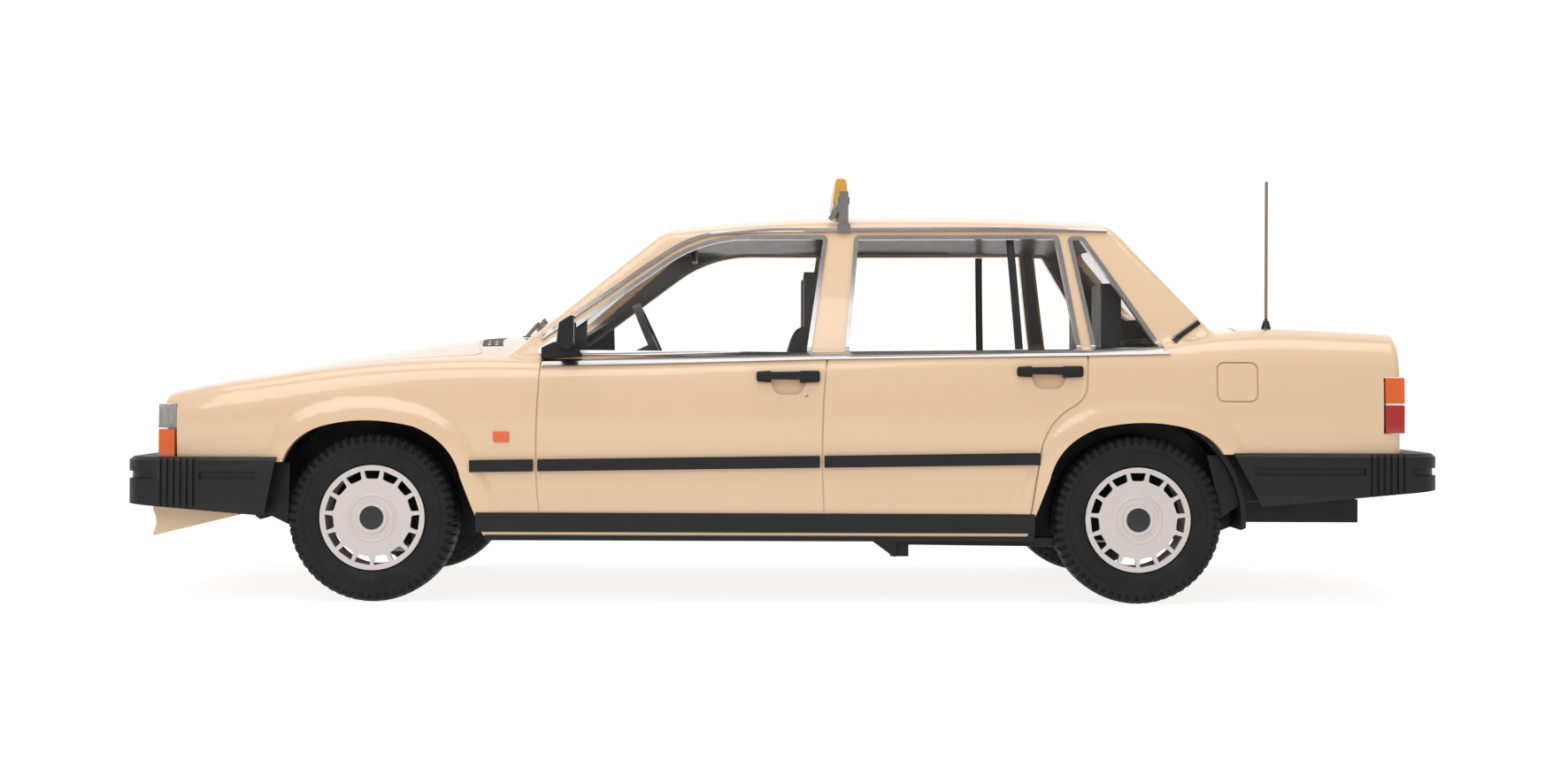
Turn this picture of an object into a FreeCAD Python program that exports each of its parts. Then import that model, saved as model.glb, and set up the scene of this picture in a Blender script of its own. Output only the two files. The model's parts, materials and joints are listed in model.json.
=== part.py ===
"""Scale-model taxi saloon, sealed body, rolling and steering wheels.

Millimetres. +X points to the rear, -X to the nose, +Z up, the left side at -Y.
The origin is on the floor below the middle of the car.
"""
import FreeCAD
import Part
import math
import os

from FreeCAD import Vector
from functools import lru_cache

# Whole car
length = 265.8
wheelbase = 153.9
front_overhang = 50.45
track = 81.4
overrun = 6.0
fit_gap = 0.12
seat_gap = 0.2

# Lower body
body_half_width = 47.6
belt_height = 50.0
body_bottom = 13.5
side_belly_height = 33.0
sill_tuck = 1.6
crease_tuck = 0.5
body_wall = 1.5
nose_setback = 6.4
tail_setback = 7.7
nose_bow = 2.0
tail_bow = 0.9
end_trim = 0.1
apron_height = 22.0
apron_length = 25.0
apron_rear_length = 36.0
shoulder_bulge_share = 0.17
bend_steps = 4

# Cabin
cabin_half_width = 43.7
rail_half_width = 34.2
roof_height = 80.5
cabin_root = 4.0
rail_drop = 5.0
roof_drop = 2.7
roof_corner = 2.6
pillar_bulge = 0.7
screen_base_x = -54.5
screen_rake = 38.3
screen_bow = 4.5
rear_base_x = 90.9
rear_rake = 45.4
rear_bow = 6.5
window_height = 24.7
frame_width = 0.9
frame_stand = 0.35
glass_sink = 0.3
glass_wall = 0.9
screen_low = 55.0
screen_high = 74.6
screen_low_half = 38.6
screen_high_half = 31.2
screen_corner = 3.0
backlight_low = 59.0
backlight_high = 74.6
backlight_low_half = 37.0
backlight_high_half = 30.8
lining_wall = 0.9

# Wheel arches and wheels
arch_height = 19.6
flare_band = 4.0
flare_stand = 0.7
tyre_radius = 17.0
tyre_width = 10.3
tyre_shoulder_drop = 0.5
tyre_shoulder_width = 1.0
rim_radius = 10.55
barrel_wall = 0.8
barrel_width = 8.8
cover_disc_radius = 7.9
cover_ring_inner = 9.4
cover_plate = 0.9
cover_sink = 0.55
spoke_count = 15
spoke_share = 0.36
spoke_taper_share = 0.62
hub_radius = 2.6
boss_radius = 3.1
boss_stand = 0.5
axle_radius = 1.0
hub_depth = 7.6
running_gap = 0.05
front_well_radius = 22.6
front_well_y = 27.0
rear_well_radius = 20.8
rear_well_y = 34.0
well_wall = 1.0

# Underside
chassis_bottom = 12.5
chassis_plate = 1.5
chassis_front_x = -108.0
chassis_rear_x = 95.0
chassis_ramp_length = 9.0
nose_ramp_rise = 6.0
tail_box_end = 118.0
tail_box_low = 16.1
tail_box_high = 20.8
tail_box_half = 36.0
screw_spacing = 100.0
screw_radius = 1.4
screw_boss_radius = 3.4
screw_boss_height = 2.5
sump_length = 16.0
sump_half = 11.0
sump_depth = 1.6
gearbox_half = 6.0
gearbox_length = 30.0
relief_depth = 1.4
shaft_radius = 1.3
axle_tube_radius = 2.0
differential_radius = 2.9
trailing_arm_y = 29.0
trailing_arm_width = 3.0
trailing_arm_length = 26.0
muffler_front_x = 26.0
muffler_length = 30.0
muffler_width = 13.0
muffler_low = 10.9
muffler_y = -14.0
pipe_radius = 1.1
pipe_front_x = -46.0
tail_pipe_bend_x = 96.0
tail_pipe_end_x = 112.0
tail_pipe_height = 15.2
jack_x = 21.8
jack_length = 3.7
jack_low = 9.4
jack_width = 1.2
jack_y = 43.0

# Steering
kingpin_y = 32.5
kingpin_radius = 1.2
kingpin_eye = 2.4
steer_arm_length = 8.0
arm_plate = 1.5
upper_arm_low = 22.0
knuckle_half = 2.1
knuckle_gap = 0.3
tie_pin_radius = 0.7
tie_eye = 1.3
tie_plate = 1.1
steer_plate = 1.3
tie_bar_share = 0.7
cross_member_half = 5.0

# Bumpers
bumper_half_width = 48.6
bumper_bow = 1.3
bumper_corner = 5.6
bumper_round_share = 0.29
bumper_foot_inset = 1.1
bumper_foot_height = 2.4
bumper_head_inset = 0.7
bumper_head_height = 0.7
bumper_groove_depth = 0.5
bumper_groove_height = 1.5
bumper_groove_drop = 4.4
bumper_rib_start = 8.7
bumper_rib_pitch = 1.3
bumper_rib_gap = 0.5
bumper_rib_count = 6
bumper_panel_end = 4.2
front_bumper_low = 17.4
front_bumper_height = 11.8
front_bumper_reach = 31.8
front_bumper_lean = 2.5
front_bumper_lift = 3.1
rear_bumper_low = 19.8
rear_bumper_height = 10.8
rear_bumper_reach = 42.9
rear_bumper_lean = 5.8
rear_bumper_lift = 4.2
plate_length = 28.9
plate_height = 6.1
plate_wall = 0.5
rear_plate_low = 33.6
valance_half_width = 42.0
valance_high = 19.3
valance_drop = 6.2
valance_length = 18.0
valance_lead = 1.6
valance_bow = 0.8
valance_hollow = 1.4
valance_lip = 0.7
valance_web_inset = 1.3
valance_web = 1.7

# Front lamps and grille
lamp_low = 28.6
lamp_high = 39.8
lamp_split = 34.8
lamp_depth = 3.0
corner_lamp_depth = 4.6
corner_lamp_inner = 37.2
headlamp_inner = 17.4
lens_wall = 1.6
lens_stand = 0.4
grille_half = 16.6
grille_frame = 0.9
grille_bar = 0.45
grille_pitch = 1.5

# Tail lamps
tail_lamp_low = 34.5
tail_lamp_high = 45.9
tail_lamp_split = 40.4
tail_lamp_inner = 24.0
tail_lamp_depth = 4.4
tail_lamp_clear_width = 7.0
lamp_gap = 0.25

# Side trim
strip_low = 26.3
strip_height = 2.4
strip_rise = 1.8
strip_stand = 0.9
strip_gap = 0.9
strip_front_x = -62.6
strip_wing_end = -49.9
strip_door_end = 7.9
strip_rear_end = 51.5
sill_low = 14.3
sill_high = 18.2
sill_front_x = -61.5
sill_rear_x = 50.6
sill_stand = 0.5
groove_width = 0.36
groove_depth = 0.4
flap_x = 91.0
flap_z = 44.8
flap_length = 8.5
flap_height = 8.1
flap_corner = 1.6
scoop_depth = 0.6
scoop_height = 2.6
bonnet_line_half = 40.6
bonnet_line_rear_x = -61.5
bonnet_line_bow = 3.5
boot_line_half = 39.2
boot_line_front_x = 92.6
boot_line_bow = 3.0
boot_face_low = 31.0
repeater_x = -56.3
repeater_z = 33.4
repeater_length = 3.2
repeater_height = 2.1
repeater_stand = 0.5
belt_strip_stand = 0.4
window_bar_x = 47.0
window_bar_width = 1.6
window_bar_lean = 1.2
window_bar_wall = 0.2
cowl_stand = 0.25
cowl_length = 5.5
rail_stand = 0.8
rail_band = 0.9

# Handles and mirrors
handle_length = 12.4
handle_height = 2.4
handle_stand = 1.5
handle_front_x = 0.9
handle_front_z = 45.5
handle_rear_x = 53.0
handle_rear_z = 46.8
mirror_x = -43.0
mirror_length = 3.4
mirror_low = 49.9
mirror_height = 7.6
mirror_width = 9.0
mirror_reach = 52.5
mirror_foot = 2.6
mirror_foot_low = 49.2
mirror_foot_x = -48.0
mirror_patch_end = -34.4
mirror_rim = 0.6

# Roof sign and aerial
sign_x = 12.5
sign_half_width = 33.8
sign_bar_low = 81.4
sign_bar_height = 1.3
sign_bar_length = 2.4
sign_plate = 1.0
sign_plate_length = 1.9
sign_plate_rise = 1.1
sign_strut_reach = 2.4
sign_foot_length = 2.6
sign_foot_height = 1.2
sign_foot_overhang = 0.9
sign_lens_half = 14.5
sign_lens_length = 3.6
sign_top_length = 2.1
sign_top = 88.3
aerial_x = 100.4
aerial_y = -30.0
aerial_base_radius = 1.1
aerial_base_height = 1.8
aerial_radius = 0.32
aerial_top = 86.4

# Wipers
wiper_spacing = 34.0
wiper_blade_length = 27.0
wiper_blade_width = 0.7
wiper_blade_height = 0.9
wiper_lap = 0.3
wiper_slant = 1.2
wiper_park = 9.0
wiper_foot = 4.6
wiper_arm_width = 0.9
wiper_arm_height = 0.7
wiper_stem_height = 3.0

# Interior
tub_wall = 1.2
tub_half_width = 42.4
tub_front_x = -52.0
tub_rear_x = 80.0
tub_high = 49.2
dash_length = 12.0
dash_low = 38.0
dash_high = 50.6
dash_foot_share = 0.7
dash_top_share = 0.8
seat_y = 18.0
seat_width = 26.0
seat_front_x = -26.4
cushion_length = 24.0
cushion_low = 20.0
cushion_height = 12.0
back_thickness = 8.0
back_height = 30.0
back_lean = 9.0
headrest_height = 6.4
headrest_width = 14.0
headrest_length = 4.2
headrest_low = 61.2
rear_seat_x = 37.5
rear_back_height = 25.0
rear_headrest_low = 59.0
wheel_rim_radius = 10.2
wheel_rim_wire = 0.75
wheel_pad_share = 0.6
wheel_column_share = 1.4
wheel_tilt = 24.0
steering_x = -27.0
steering_z = 51.6
column_radius = 1.3
inner_mirror_x = -20.0
inner_mirror_wall = 1.2
inner_mirror_half = 6.5
inner_mirror_height = 3.0
inner_mirror_drop = 1.6
shelf_plate = 1.2
shelf_z = 52.4

# Places worked out from the sizes above
nose_x = -length / 2 + nose_setback
tail_x = length / 2 - tail_setback
front_axle_x = -length / 2 + front_overhang
rear_axle_x = front_axle_x + wheelbase
wheel_y = track / 2
chassis_top = chassis_bottom + chassis_plate
cabin_length = rear_base_x - screen_base_x
AXLES = (("front", front_axle_x), ("rear", rear_axle_x))
SIDES = (("left", -1), ("right", 1))

# Lower body stations: along, half width, crease height, lid edge inset, lid edge height, crown height.
# The first is a share of the body length, widths of the half width and heights of the belt height.
STATION_SHARES = (
    (0.000, 0.941, 0.772, 0.063, 0.828, 0.856),
    (0.030, 0.964, 0.800, 0.067, 0.860, 0.894),
    (0.081, 0.979, 0.836, 0.071, 0.898, 0.940),
    (0.169, 0.994, 0.892, 0.080, 0.958, 1.018),
    (0.256, 1.000, 0.924, 0.084, 0.982, 1.076),
    (0.312, 1.000, 0.926, 0.080, 0.978, 1.080),
    (0.540, 1.000, 0.952, 0.076, 1.008, 1.064),
    (0.733, 1.000, 0.966, 0.076, 1.022, 1.070),
    (0.797, 0.998, 0.964, 0.088, 1.038, 1.084),
    (0.840, 0.994, 0.957, 0.118, 1.078, 1.112),
    (0.884, 0.987, 0.950, 0.139, 1.104, 1.132),
    (0.948, 0.977, 0.946, 0.139, 1.100, 1.126),
    (1.000, 0.958, 0.940, 0.130, 1.086, 1.108),
)

# Cabin stations: along the cabin, width, roof height, each as a share.
CABIN_SHARES = (
    (-0.06, 0.980, 0.925),
    (0.205, 0.992, 0.968),
    (0.375, 1.000, 0.993),
    (0.615, 1.000, 1.000),
    (0.840, 0.988, 0.987),
    (1.040, 0.975, 0.962),
)

# Window outlines: along the cabin, up the window, corner radius as a share of the window height.
FRONT_WINDOW_SHARES = (
    (0.0820, -0.065, 0.03), (0.2593, 1.000, 0.70), (0.4388, 1.000, 0.04), (0.4129, -0.014, 0.04),
)
REAR_WINDOW_SHARES = (
    (0.4600, -0.008, 0.04), (0.4759, 1.000, 0.04), (0.7517, 1.010, 0.04), (0.8056, 0.016, 0.04),
)
QUARTER_WINDOW_SHARES = (
    (0.8147, 0.032, 0.04), (0.7710, 1.000, 0.04), (0.7999, 1.000, 0.06), (0.9072, 0.032, 0.04),
)
WINDOW_SHARES = (FRONT_WINDOW_SHARES, REAR_WINDOW_SHARES, QUARTER_WINDOW_SHARES)

# Bright belt strip: along the body, its lower and upper edge as shares of the belt height.
BELT_STRIP_SHARES = (
    (0.3103, 0.950, 0.974), (0.5344, 0.982, 1.012), (0.7410, 1.000, 1.022), (0.8113, 1.008, 1.020),
)

# Panel lines at the door edges: places as shares of the body length and of the belt height.
DOOR_LINE_SHARES = (
    ((0.3103, 1.00), ((0.3063, 0.60), (0.3107, 0.30))),
    ((0.5383, 1.00), ((0.5344, 0.67), (0.5367, 0.30))),
    ((0.7457, 1.00), (0.7449, 0.89), ((0.7418, 0.832), (0.7326, 0.792)),
     ((0.7159, 0.714), (0.7076, 0.600)), (0.6984, 0.30)),
)

# Wheel arch opening from the cabin side over the top to the bumper side, in shares of the arch height
ARCH_SHARES = (
    (1.17, -0.25), (0.92, 0.41), (0.76, 0.73), (0.44, 0.94), (0.0, 1.0),
    (-0.42, 0.96), (-0.72, 0.83), (-0.90, 0.59), (-1.05, 0.0), (-1.14, -0.6),
)


def side(x, z):
    """A point of the side view."""
    return Vector(x, 0, z)


def plan(x, y):
    """A point of the plan view."""
    return Vector(x, y, 0)


def front(y, z):
    """A point of the front view."""
    return Vector(0, y, z)


def strokes(place, start, steps):
    """Edges through 2-D points; a step that is a pair of points is an arc through the first."""
    edges = []
    here = place(*start)
    for step in steps:
        if isinstance(step[0], tuple):
            end = place(*step[1])
            edges.append(Part.Arc(here, place(*step[0]), end).toShape())
        else:
            end = place(*step)
            if end.isEqual(here, 0):
                continue
            edges.append(Part.LineSegment(here, end).toShape())
        here = end
    return edges


def bend(start, middle, end):
    """Short straight edges that follow the tight arc through three points."""
    points = Part.Arc(start, middle, end).toShape().discretize(bend_steps + 1)
    return [Part.LineSegment(a, b).toShape() for a, b in zip(points, points[1:])]


def path(place, start, *steps):
    """Closed wire through 2-D points and arcs."""
    return Part.Wire(strokes(place, start, steps + (start,)))


def line_face(place, start, *steps):
    """The narrow face of a panel line that runs through 2-D points and arcs."""
    wire = Part.Wire(strokes(place, start, steps))
    return wire.makeOffset2D(groove_width / 2, 0, True, True)


def rounded(place, corners):
    """Closed wire round 2-D corners (a, b, radius), each turned by a tangent arc."""
    spots = [place(a, b) for a, b, _ in corners]
    starts, arcs, ends = [], [], []
    for index, (_, _, radius) in enumerate(corners):
        spot = spots[index]
        back = spots[index - 1] - spot
        ahead = spots[(index + 1) % len(spots)] - spot
        back.normalize()
        ahead.normalize()
        half_angle = back.getAngle(ahead) / 2
        if radius <= 0:
            starts.append(spot)
            ends.append(spot)
            arcs.append(None)
            continue
        reach = radius / math.tan(half_angle)
        toward = back + ahead
        toward.normalize()
        middle = spot + toward * (radius / math.sin(half_angle) - radius)
        starts.append(spot + back * reach)
        ends.append(spot + ahead * reach)
        arcs.append(Part.Arc(starts[-1], middle, ends[-1]).toShape())
    edges = []
    for index in range(len(spots)):
        if arcs[index]:
            edges.append(arcs[index])
        following = starts[(index + 1) % len(spots)]
        if not ends[index].isEqual(following, 0):
            edges.append(Part.LineSegment(ends[index], following).toShape())
    return Part.Wire(edges)


def slab(outline, shift, reach):
    """The solid that a flat closed wire or face makes when it is moved by shift and carried along reach."""
    face = outline.copy() if outline.ShapeType == "Face" else Part.Face(outline)
    face.translate(shift)
    return face.extrude(reach)


def across(wire, half):
    """A side-view wire carried across the car, from -half to +half."""
    return slab(wire, Vector(0, -half, 0), Vector(0, 2 * half, 0))


def upright(wire, low, high):
    """A plan-view wire carried up from low to high."""
    return slab(wire, Vector(0, 0, low), Vector(0, 0, high - low))


def along(wire, start, end):
    """A front-view wire carried along the car from start to end."""
    return slab(wire, Vector(start, 0, 0), Vector(end - start, 0, 0))


def box(x0, x1, y0, y1, z0, z1):
    """A block between two corners."""
    return Part.makeBox(x1 - x0, y1 - y0, z1 - z0, Vector(x0, y0, z0))


def rod_y(radius, x, z, y0, y1):
    """A round rod across the car."""
    return Part.makeCylinder(radius, y1 - y0, Vector(x, y0, z), Vector(0, 1, 0))


def rod_z(radius, x, y, z0, z1):
    """An upright round rod."""
    return Part.makeCylinder(radius, z1 - z0, Vector(x, y, z0))


def rod_x(radius, y, z, x0, x1):
    """A round rod along the car."""
    return Part.makeCylinder(radius, x1 - x0, Vector(x0, y, z), Vector(1, 0, 0))


def beam(start, end, width, height, up):
    """A straight bar of rectangular section between two points, its height standing towards up."""
    ahead = end - start
    beam_length = ahead.Length
    turn = FreeCAD.Rotation(ahead, Vector(0, 0, 0), up, "XZY")
    bar = Part.makeBox(beam_length, width, height, Vector(0, -width / 2, 0))
    bar.Placement = FreeCAD.Placement(start, turn)
    return bar


def mirrored(shape):
    """The same piece on the other side of the car."""
    return shape.mirror(Vector(0, 0, 0), Vector(0, 1, 0))


def both(shape):
    """A piece and its mirror image, as separate solids."""
    return Part.makeCompound(shape.Solids + mirrored(shape).Solids)


def joined(shapes):
    """Several overlapping solids made one."""
    return shapes[0].fuse(list(shapes[1:])).removeSplitter()


def body_x(share, inset=0.0):
    """A place along the body, between nose and tail."""
    return nose_x + inset + share * (tail_x - nose_x - 2 * inset)


def body_section(shares, inset, bottom):
    """One cross-section of the lower body, inset from its outer skin."""
    share, width_share, crease_share, edge_share, lid_share, crown_share = shares
    x = body_x(share, inset)
    half = body_half_width * width_share - inset
    crease = Vector(x, half - crease_tuck, belt_height * crease_share - inset / 2)
    lid_half = half - body_half_width * edge_share
    lid = Vector(x, lid_half, belt_height * lid_share - inset)
    chord = lid - crease
    bulge = Vector(0, chord.z, -chord.y) * shoulder_bulge_share
    shoulder = (lid + crease) * 0.5 + bulge
    belly = Vector(x, half, side_belly_height)
    sill = Vector(x, half - sill_tuck, bottom)
    crown = Vector(x, 0, belt_height * crown_share - inset)

    def far(point):
        return Vector(point.x, -point.y, point.z)

    edges = [Part.LineSegment(far(sill), sill).toShape(), Part.Arc(sill, belly, crease).toShape()]
    edges += bend(crease, shoulder, lid)
    edges.append(Part.Arc(lid, crown, far(lid)).toShape())
    edges += bend(far(lid), far(shoulder), far(crease))
    edges.append(Part.Arc(far(crease), far(belly), far(sill)).toShape())
    return Part.Wire(edges)


def bowed_plan(inset):
    """The plan outline that bows the nose and the tail, moved inwards by inset."""
    wide = body_half_width + overrun
    x0 = nose_x + end_trim + inset
    x1 = tail_x - end_trim - inset
    return path(
        plan, (x0 + nose_bow, -wide), ((x0, 0), (x0 + nose_bow, wide)), (x1 - tail_bow, wide),
        ((x1, 0), (x1 - tail_bow, -wide)))


@lru_cache(maxsize=None)
def lower_body(inset=0.0, bottom=body_bottom):
    """The solid inside the lower body's skin, moved inwards by inset."""
    block = Part.makeLoft([body_section(row, inset, bottom) for row in STATION_SHARES], True, True)
    return block.common(upright(bowed_plan(inset), bottom - overrun, roof_height))


def cabin_section(shares, inset):
    """One cross-section of the cabin, from below the belt to the roof."""
    share, width_share, roof_share = shares
    x = screen_base_x + share * cabin_length
    top = roof_height * roof_share - inset
    foot = Vector(x, cabin_half_width * width_share - inset + pillar_bulge, belt_height - cabin_root)
    rail = Vector(x, rail_half_width * width_share - inset, top - rail_drop)
    roof_edge = Vector(x, rail.y - roof_corner, top - roof_drop)
    corner = Vector(x, rail.y - roof_corner / 3, (rail.z + roof_edge.z) / 2 + roof_corner / 6)
    swell = (foot + rail) * 0.5 + Vector(0, pillar_bulge, 0)

    def far(point):
        return Vector(point.x, -point.y, point.z)

    edges = [Part.LineSegment(far(foot), foot).toShape(), Part.Arc(foot, swell, rail).toShape()]
    edges += bend(rail, corner, roof_edge)
    edges.append(Part.Arc(roof_edge, Vector(x, 0, top), far(roof_edge)).toShape())
    edges += bend(far(roof_edge), far(corner), far(rail))
    edges.append(Part.Arc(far(rail), far(swell), far(foot)).toShape())
    return Part.Wire(edges)


def screen_block(base_x, bow, rake, sign, inset):
    """The space behind a bowed, raked pane; sign is 1 where the cabin lies to the rear of it."""
    angle = math.radians(rake)
    slope = Vector(sign * math.cos(angle), 0, math.sin(angle))
    inward = Vector(sign * math.sin(angle), 0, -math.cos(angle))
    start = Vector(base_x, 0, belt_height) + inward * inset - slope * length
    half = cabin_half_width
    wide = half + overrun
    depth = bow * math.sin(angle)

    def place(deep, y):
        return start + inward * deep + Vector(0, y, 0)

    outline = path(
        place, (depth, -wide), (0, -half), ((-depth, 0), (0, half)), (depth, wide),
        (length, wide), (length, -wide))
    return slab(outline, Vector(), slope * (3 * length))


@lru_cache(maxsize=None)
def cabin(inset=0.0):
    """The solid inside the cabin's skin, moved inwards by inset."""
    block = Part.makeLoft([cabin_section(row, inset) for row in CABIN_SHARES], True, True)
    block = block.common(screen_block(screen_base_x, screen_bow, screen_rake, 1, inset))
    return block.common(screen_block(rear_base_x, rear_bow, rear_rake, -1, inset))


@lru_cache(maxsize=None)
def cabin_skin(outer, inner):
    """The layer of the cabin between two insets."""
    return cabin(outer).cut(cabin(inner))


def window_wire(shares, shrink=0.0):
    """A side window's outline, shrunk all round."""
    corners = []
    for along_share, up_share, radius_share in shares:
        x = screen_base_x + along_share * cabin_length
        z = belt_height + up_share * window_height
        corners.append((x, z, radius_share * window_height))
    wire = rounded(side, corners)
    if shrink:
        wire = wire.makeOffset2D(-shrink)
    return wire


def side_opening(shares, shrink=0.0):
    """A side window carried through both sides of the cabin."""
    return across(window_wire(shares, shrink), cabin_half_width + overrun)


def screen_opening(shrink=0.0):
    """The windscreen opening carried along the car."""
    outline = rounded(front, (
        (-screen_low_half, screen_low, screen_corner), (screen_low_half, screen_low, screen_corner),
        (screen_high_half, screen_high, screen_corner), (-screen_high_half, screen_high, screen_corner)))
    if shrink:
        outline = outline.makeOffset2D(-shrink)
    return along(outline, screen_base_x - screen_bow - overrun, 0)


def backlight_opening(shrink=0.0):
    """The rear window opening carried along the car."""
    outline = rounded(front, (
        (-backlight_low_half, backlight_low, screen_corner),
        (backlight_low_half, backlight_low, screen_corner),
        (backlight_high_half, backlight_high, screen_corner),
        (-backlight_high_half, backlight_high, screen_corner)))
    if shrink:
        outline = outline.makeOffset2D(-shrink)
    return along(outline, rear_axle_x - tyre_radius, rear_base_x + rear_bow + overrun)


def arch_wire(axle_x, toward, grow=0.0):
    """The outline of a wheel arch; toward is 1 where the cabin lies to the rear of the wheel."""
    reach = arch_height + grow
    spots = [(axle_x + toward * a * reach, tyre_radius + b * reach) for a, b in ARCH_SHARES]
    base = body_bottom - overrun
    return path(
        side, (spots[0][0], base), spots[0], spots[1], (spots[2], spots[3]), (spots[4], spots[5]),
        (spots[6], spots[7]), spots[8], spots[9], (spots[9][0], base))


def arch_block(axle_x, toward, grow=0.0):
    """A wheel arch carried through both sides of the body."""
    return across(arch_wire(axle_x, toward, grow), body_half_width + overrun)


ARCHES = ((front_axle_x, 1), (rear_axle_x, -1))


def front_lamp_opening(shrink=0.0):
    """The wide opening of the nose for lamps and grille, as a block through the front wall."""
    half = body_half_width + overrun
    return box(nose_x - overrun, nose_x + corner_lamp_depth - shrink, -half, half,
               lamp_low + shrink, lamp_high - shrink)


def tail_lamp_opening(shrink=0.0):
    """The opening of the tail for a lamp cluster at each corner."""
    outer = body_half_width + overrun
    cluster = box(tail_x - tail_lamp_depth + shrink, tail_x + overrun, tail_lamp_inner + shrink, outer,
                  tail_lamp_low + shrink, tail_lamp_high - shrink)
    return both(cluster)


@lru_cache(maxsize=None)
def flares(gap=0.0):
    """Raised bands round the wheel arches, grown by a gap where another piece is fitted to them."""
    wide = body_half_width + overrun
    band = lower_body(-flare_stand - gap).common(box(-length, length, -wide, wide, sill_high, belt_height))
    rings = [band.common(arch_block(axle_x, toward, flare_band + gap)) for axle_x, toward in ARCHES]
    return Part.makeCompound(rings)


@lru_cache(maxsize=None)
def interior():
    """The space inside the body and cabin that seats and linings may fill."""
    gap = body_wall + seat_gap
    return lower_body(gap, body_bottom - overrun).fuse(cabin(gap))


def skin_only(cutter):
    """What a cutter takes away when it only reaches a groove's depth into the body."""
    return cutter.cut(lower_body(groove_depth))


def panel_lines():
    """The engraved lines of doors, bonnet, boot lid and fuel flap."""
    wide = body_half_width + overrun
    cutters = []
    for line in DOOR_LINE_SHARES:
        steps = []
        for step in line:
            if isinstance(step[0], tuple):
                steps.append(tuple((body_x(a), belt_height * b) for a, b in step))
            else:
                steps.append((body_x(step[0]), belt_height * step[1]))
        cutters.append(across(line_face(side, steps[0], *steps[1:]), wide))
    half = bonnet_line_half
    corner = bonnet_line_bow
    start_x = nose_x - overrun
    rear_x = bonnet_line_rear_x
    bonnet = line_face(
        plan, (start_x, -half), (rear_x - corner, -half), (rear_x, -half + corner),
        ((rear_x - bonnet_line_bow, 0), (rear_x, half - corner)), (rear_x - corner, half), (start_x, half))
    half = boot_line_half
    front_x = boot_line_front_x
    end_x = tail_x + overrun
    boot = line_face(
        plan, (end_x, -half), (front_x + corner, -half), (front_x, -half + corner),
        ((front_x + boot_line_bow, 0), (front_x, half - corner)), (front_x + corner, half), (end_x, half))
    cutters.append(upright(boot, tail_lamp_high, roof_height))
    cutters.append(upright(bonnet, lamp_high, roof_height))
    inner = tail_lamp_inner - lamp_gap
    lid_face = line_face(front, (-inner, tail_lamp_high), (-inner, boot_face_low), (inner, boot_face_low),
                         (inner, tail_lamp_high))
    cutters.append(along(lid_face, tail_x - body_wall, tail_x + overrun))
    flap = rounded(side, (
        (flap_x - flap_length / 2, flap_z - flap_height / 2, flap_corner),
        (flap_x + flap_length / 2, flap_z - flap_height / 2, flap_corner),
        (flap_x + flap_length / 2, flap_z + flap_height / 2, flap_corner),
        (flap_x - flap_length / 2, flap_z + flap_height / 2, flap_corner)))
    ring = across(flap, wide).cut(across(flap.makeOffset2D(-groove_width), wide))
    cutters.append(ring.common(box(-length, length, -wide, 0, 0, roof_height)))
    return [skin_only(cutter) for cutter in cutters]


def scoops():
    """The shallow hollows behind the door handles."""
    wide = body_half_width + overrun
    cutters = []
    for x, z in ((handle_front_x, handle_front_z), (handle_rear_x, handle_rear_z)):
        radius = scoop_height / 3
        low = z - handle_height / 2 - scoop_height / 2
        reach = handle_length / 2 - radius
        outline = rounded(side, (
            (x - reach, low, radius), (x + reach, low, radius), (x + reach, low + scoop_height, radius),
            (x - reach, low + scoop_height, radius)))
        cutters.append(across(outline, wide).cut(lower_body(scoop_depth)))
    return cutters


def body_shell():
    """The lower body: skin with its wheel arches and lamp openings cut, open below the cabin."""
    outside = joined([lower_body(), flares()])
    inside = [lower_body(body_wall, body_bottom - overrun), cabin(body_wall)]
    shell = outside.cut(inside)
    cutters = [arch_block(axle_x, toward) for axle_x, toward in ARCHES]
    cutters += [front_lamp_opening()] + tail_lamp_opening().Solids
    low = body_bottom - overrun
    wide = body_half_width + overrun
    cutters.append(box(nose_x - overrun, nose_x + apron_length, -wide, wide, low, apron_height))
    cutters.append(box(tail_x - apron_rear_length, tail_x + overrun, -wide, wide, low, apron_height))
    return shell.cut(cutters + panel_lines() + scoops())


def roof_and_pillars():
    """The cabin's skin above the lower body, with all its windows cut."""
    skin = cabin_skin(0, body_wall).cut(lower_body())
    cutters = [side_opening(shares, frame_width) for shares in WINDOW_SHARES]
    return skin.cut(cutters + [screen_opening(), backlight_opening()])


def windscreen():
    """The front pane, sunk into its opening."""
    return cabin_skin(glass_sink, glass_sink + glass_wall).common(screen_opening(fit_gap))


def rear_window():
    """The rear pane, sunk into its opening."""
    return cabin_skin(glass_sink, glass_sink + glass_wall).common(backlight_opening(fit_gap))


def side_windows():
    """Six side panes, sunk into their openings."""
    skin = cabin_skin(glass_sink, glass_sink + glass_wall)
    panes = []
    for shares in WINDOW_SHARES:
        pane = skin.common(side_opening(shares, frame_width + fit_gap))
        panes += pane.cut(lower_body(-fit_gap)).Solids
    return Part.makeCompound(panes)


def belt_band():
    """The belt strip's side outline carried across the car."""
    low = [(body_x(a), belt_height * b) for a, b, _ in BELT_STRIP_SHARES]
    high = [(body_x(a), belt_height * c) for a, _, c in reversed(BELT_STRIP_SHARES)]
    return across(path(side, *low, *high), body_half_width + overrun)


def window_frames():
    """Bright frames round the side windows, which end at the belt strip."""
    skin = cabin_skin(-frame_stand, 0)
    cutters = [lower_body(), belt_band()]
    pieces = []
    for shares in WINDOW_SHARES:
        ring = side_opening(shares).cut(side_opening(shares, frame_width))
        pieces += skin.common(ring).cut(cutters).Solids
    return Part.makeCompound([piece for piece in pieces if piece.Volume > frame_width ** 3])


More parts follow.
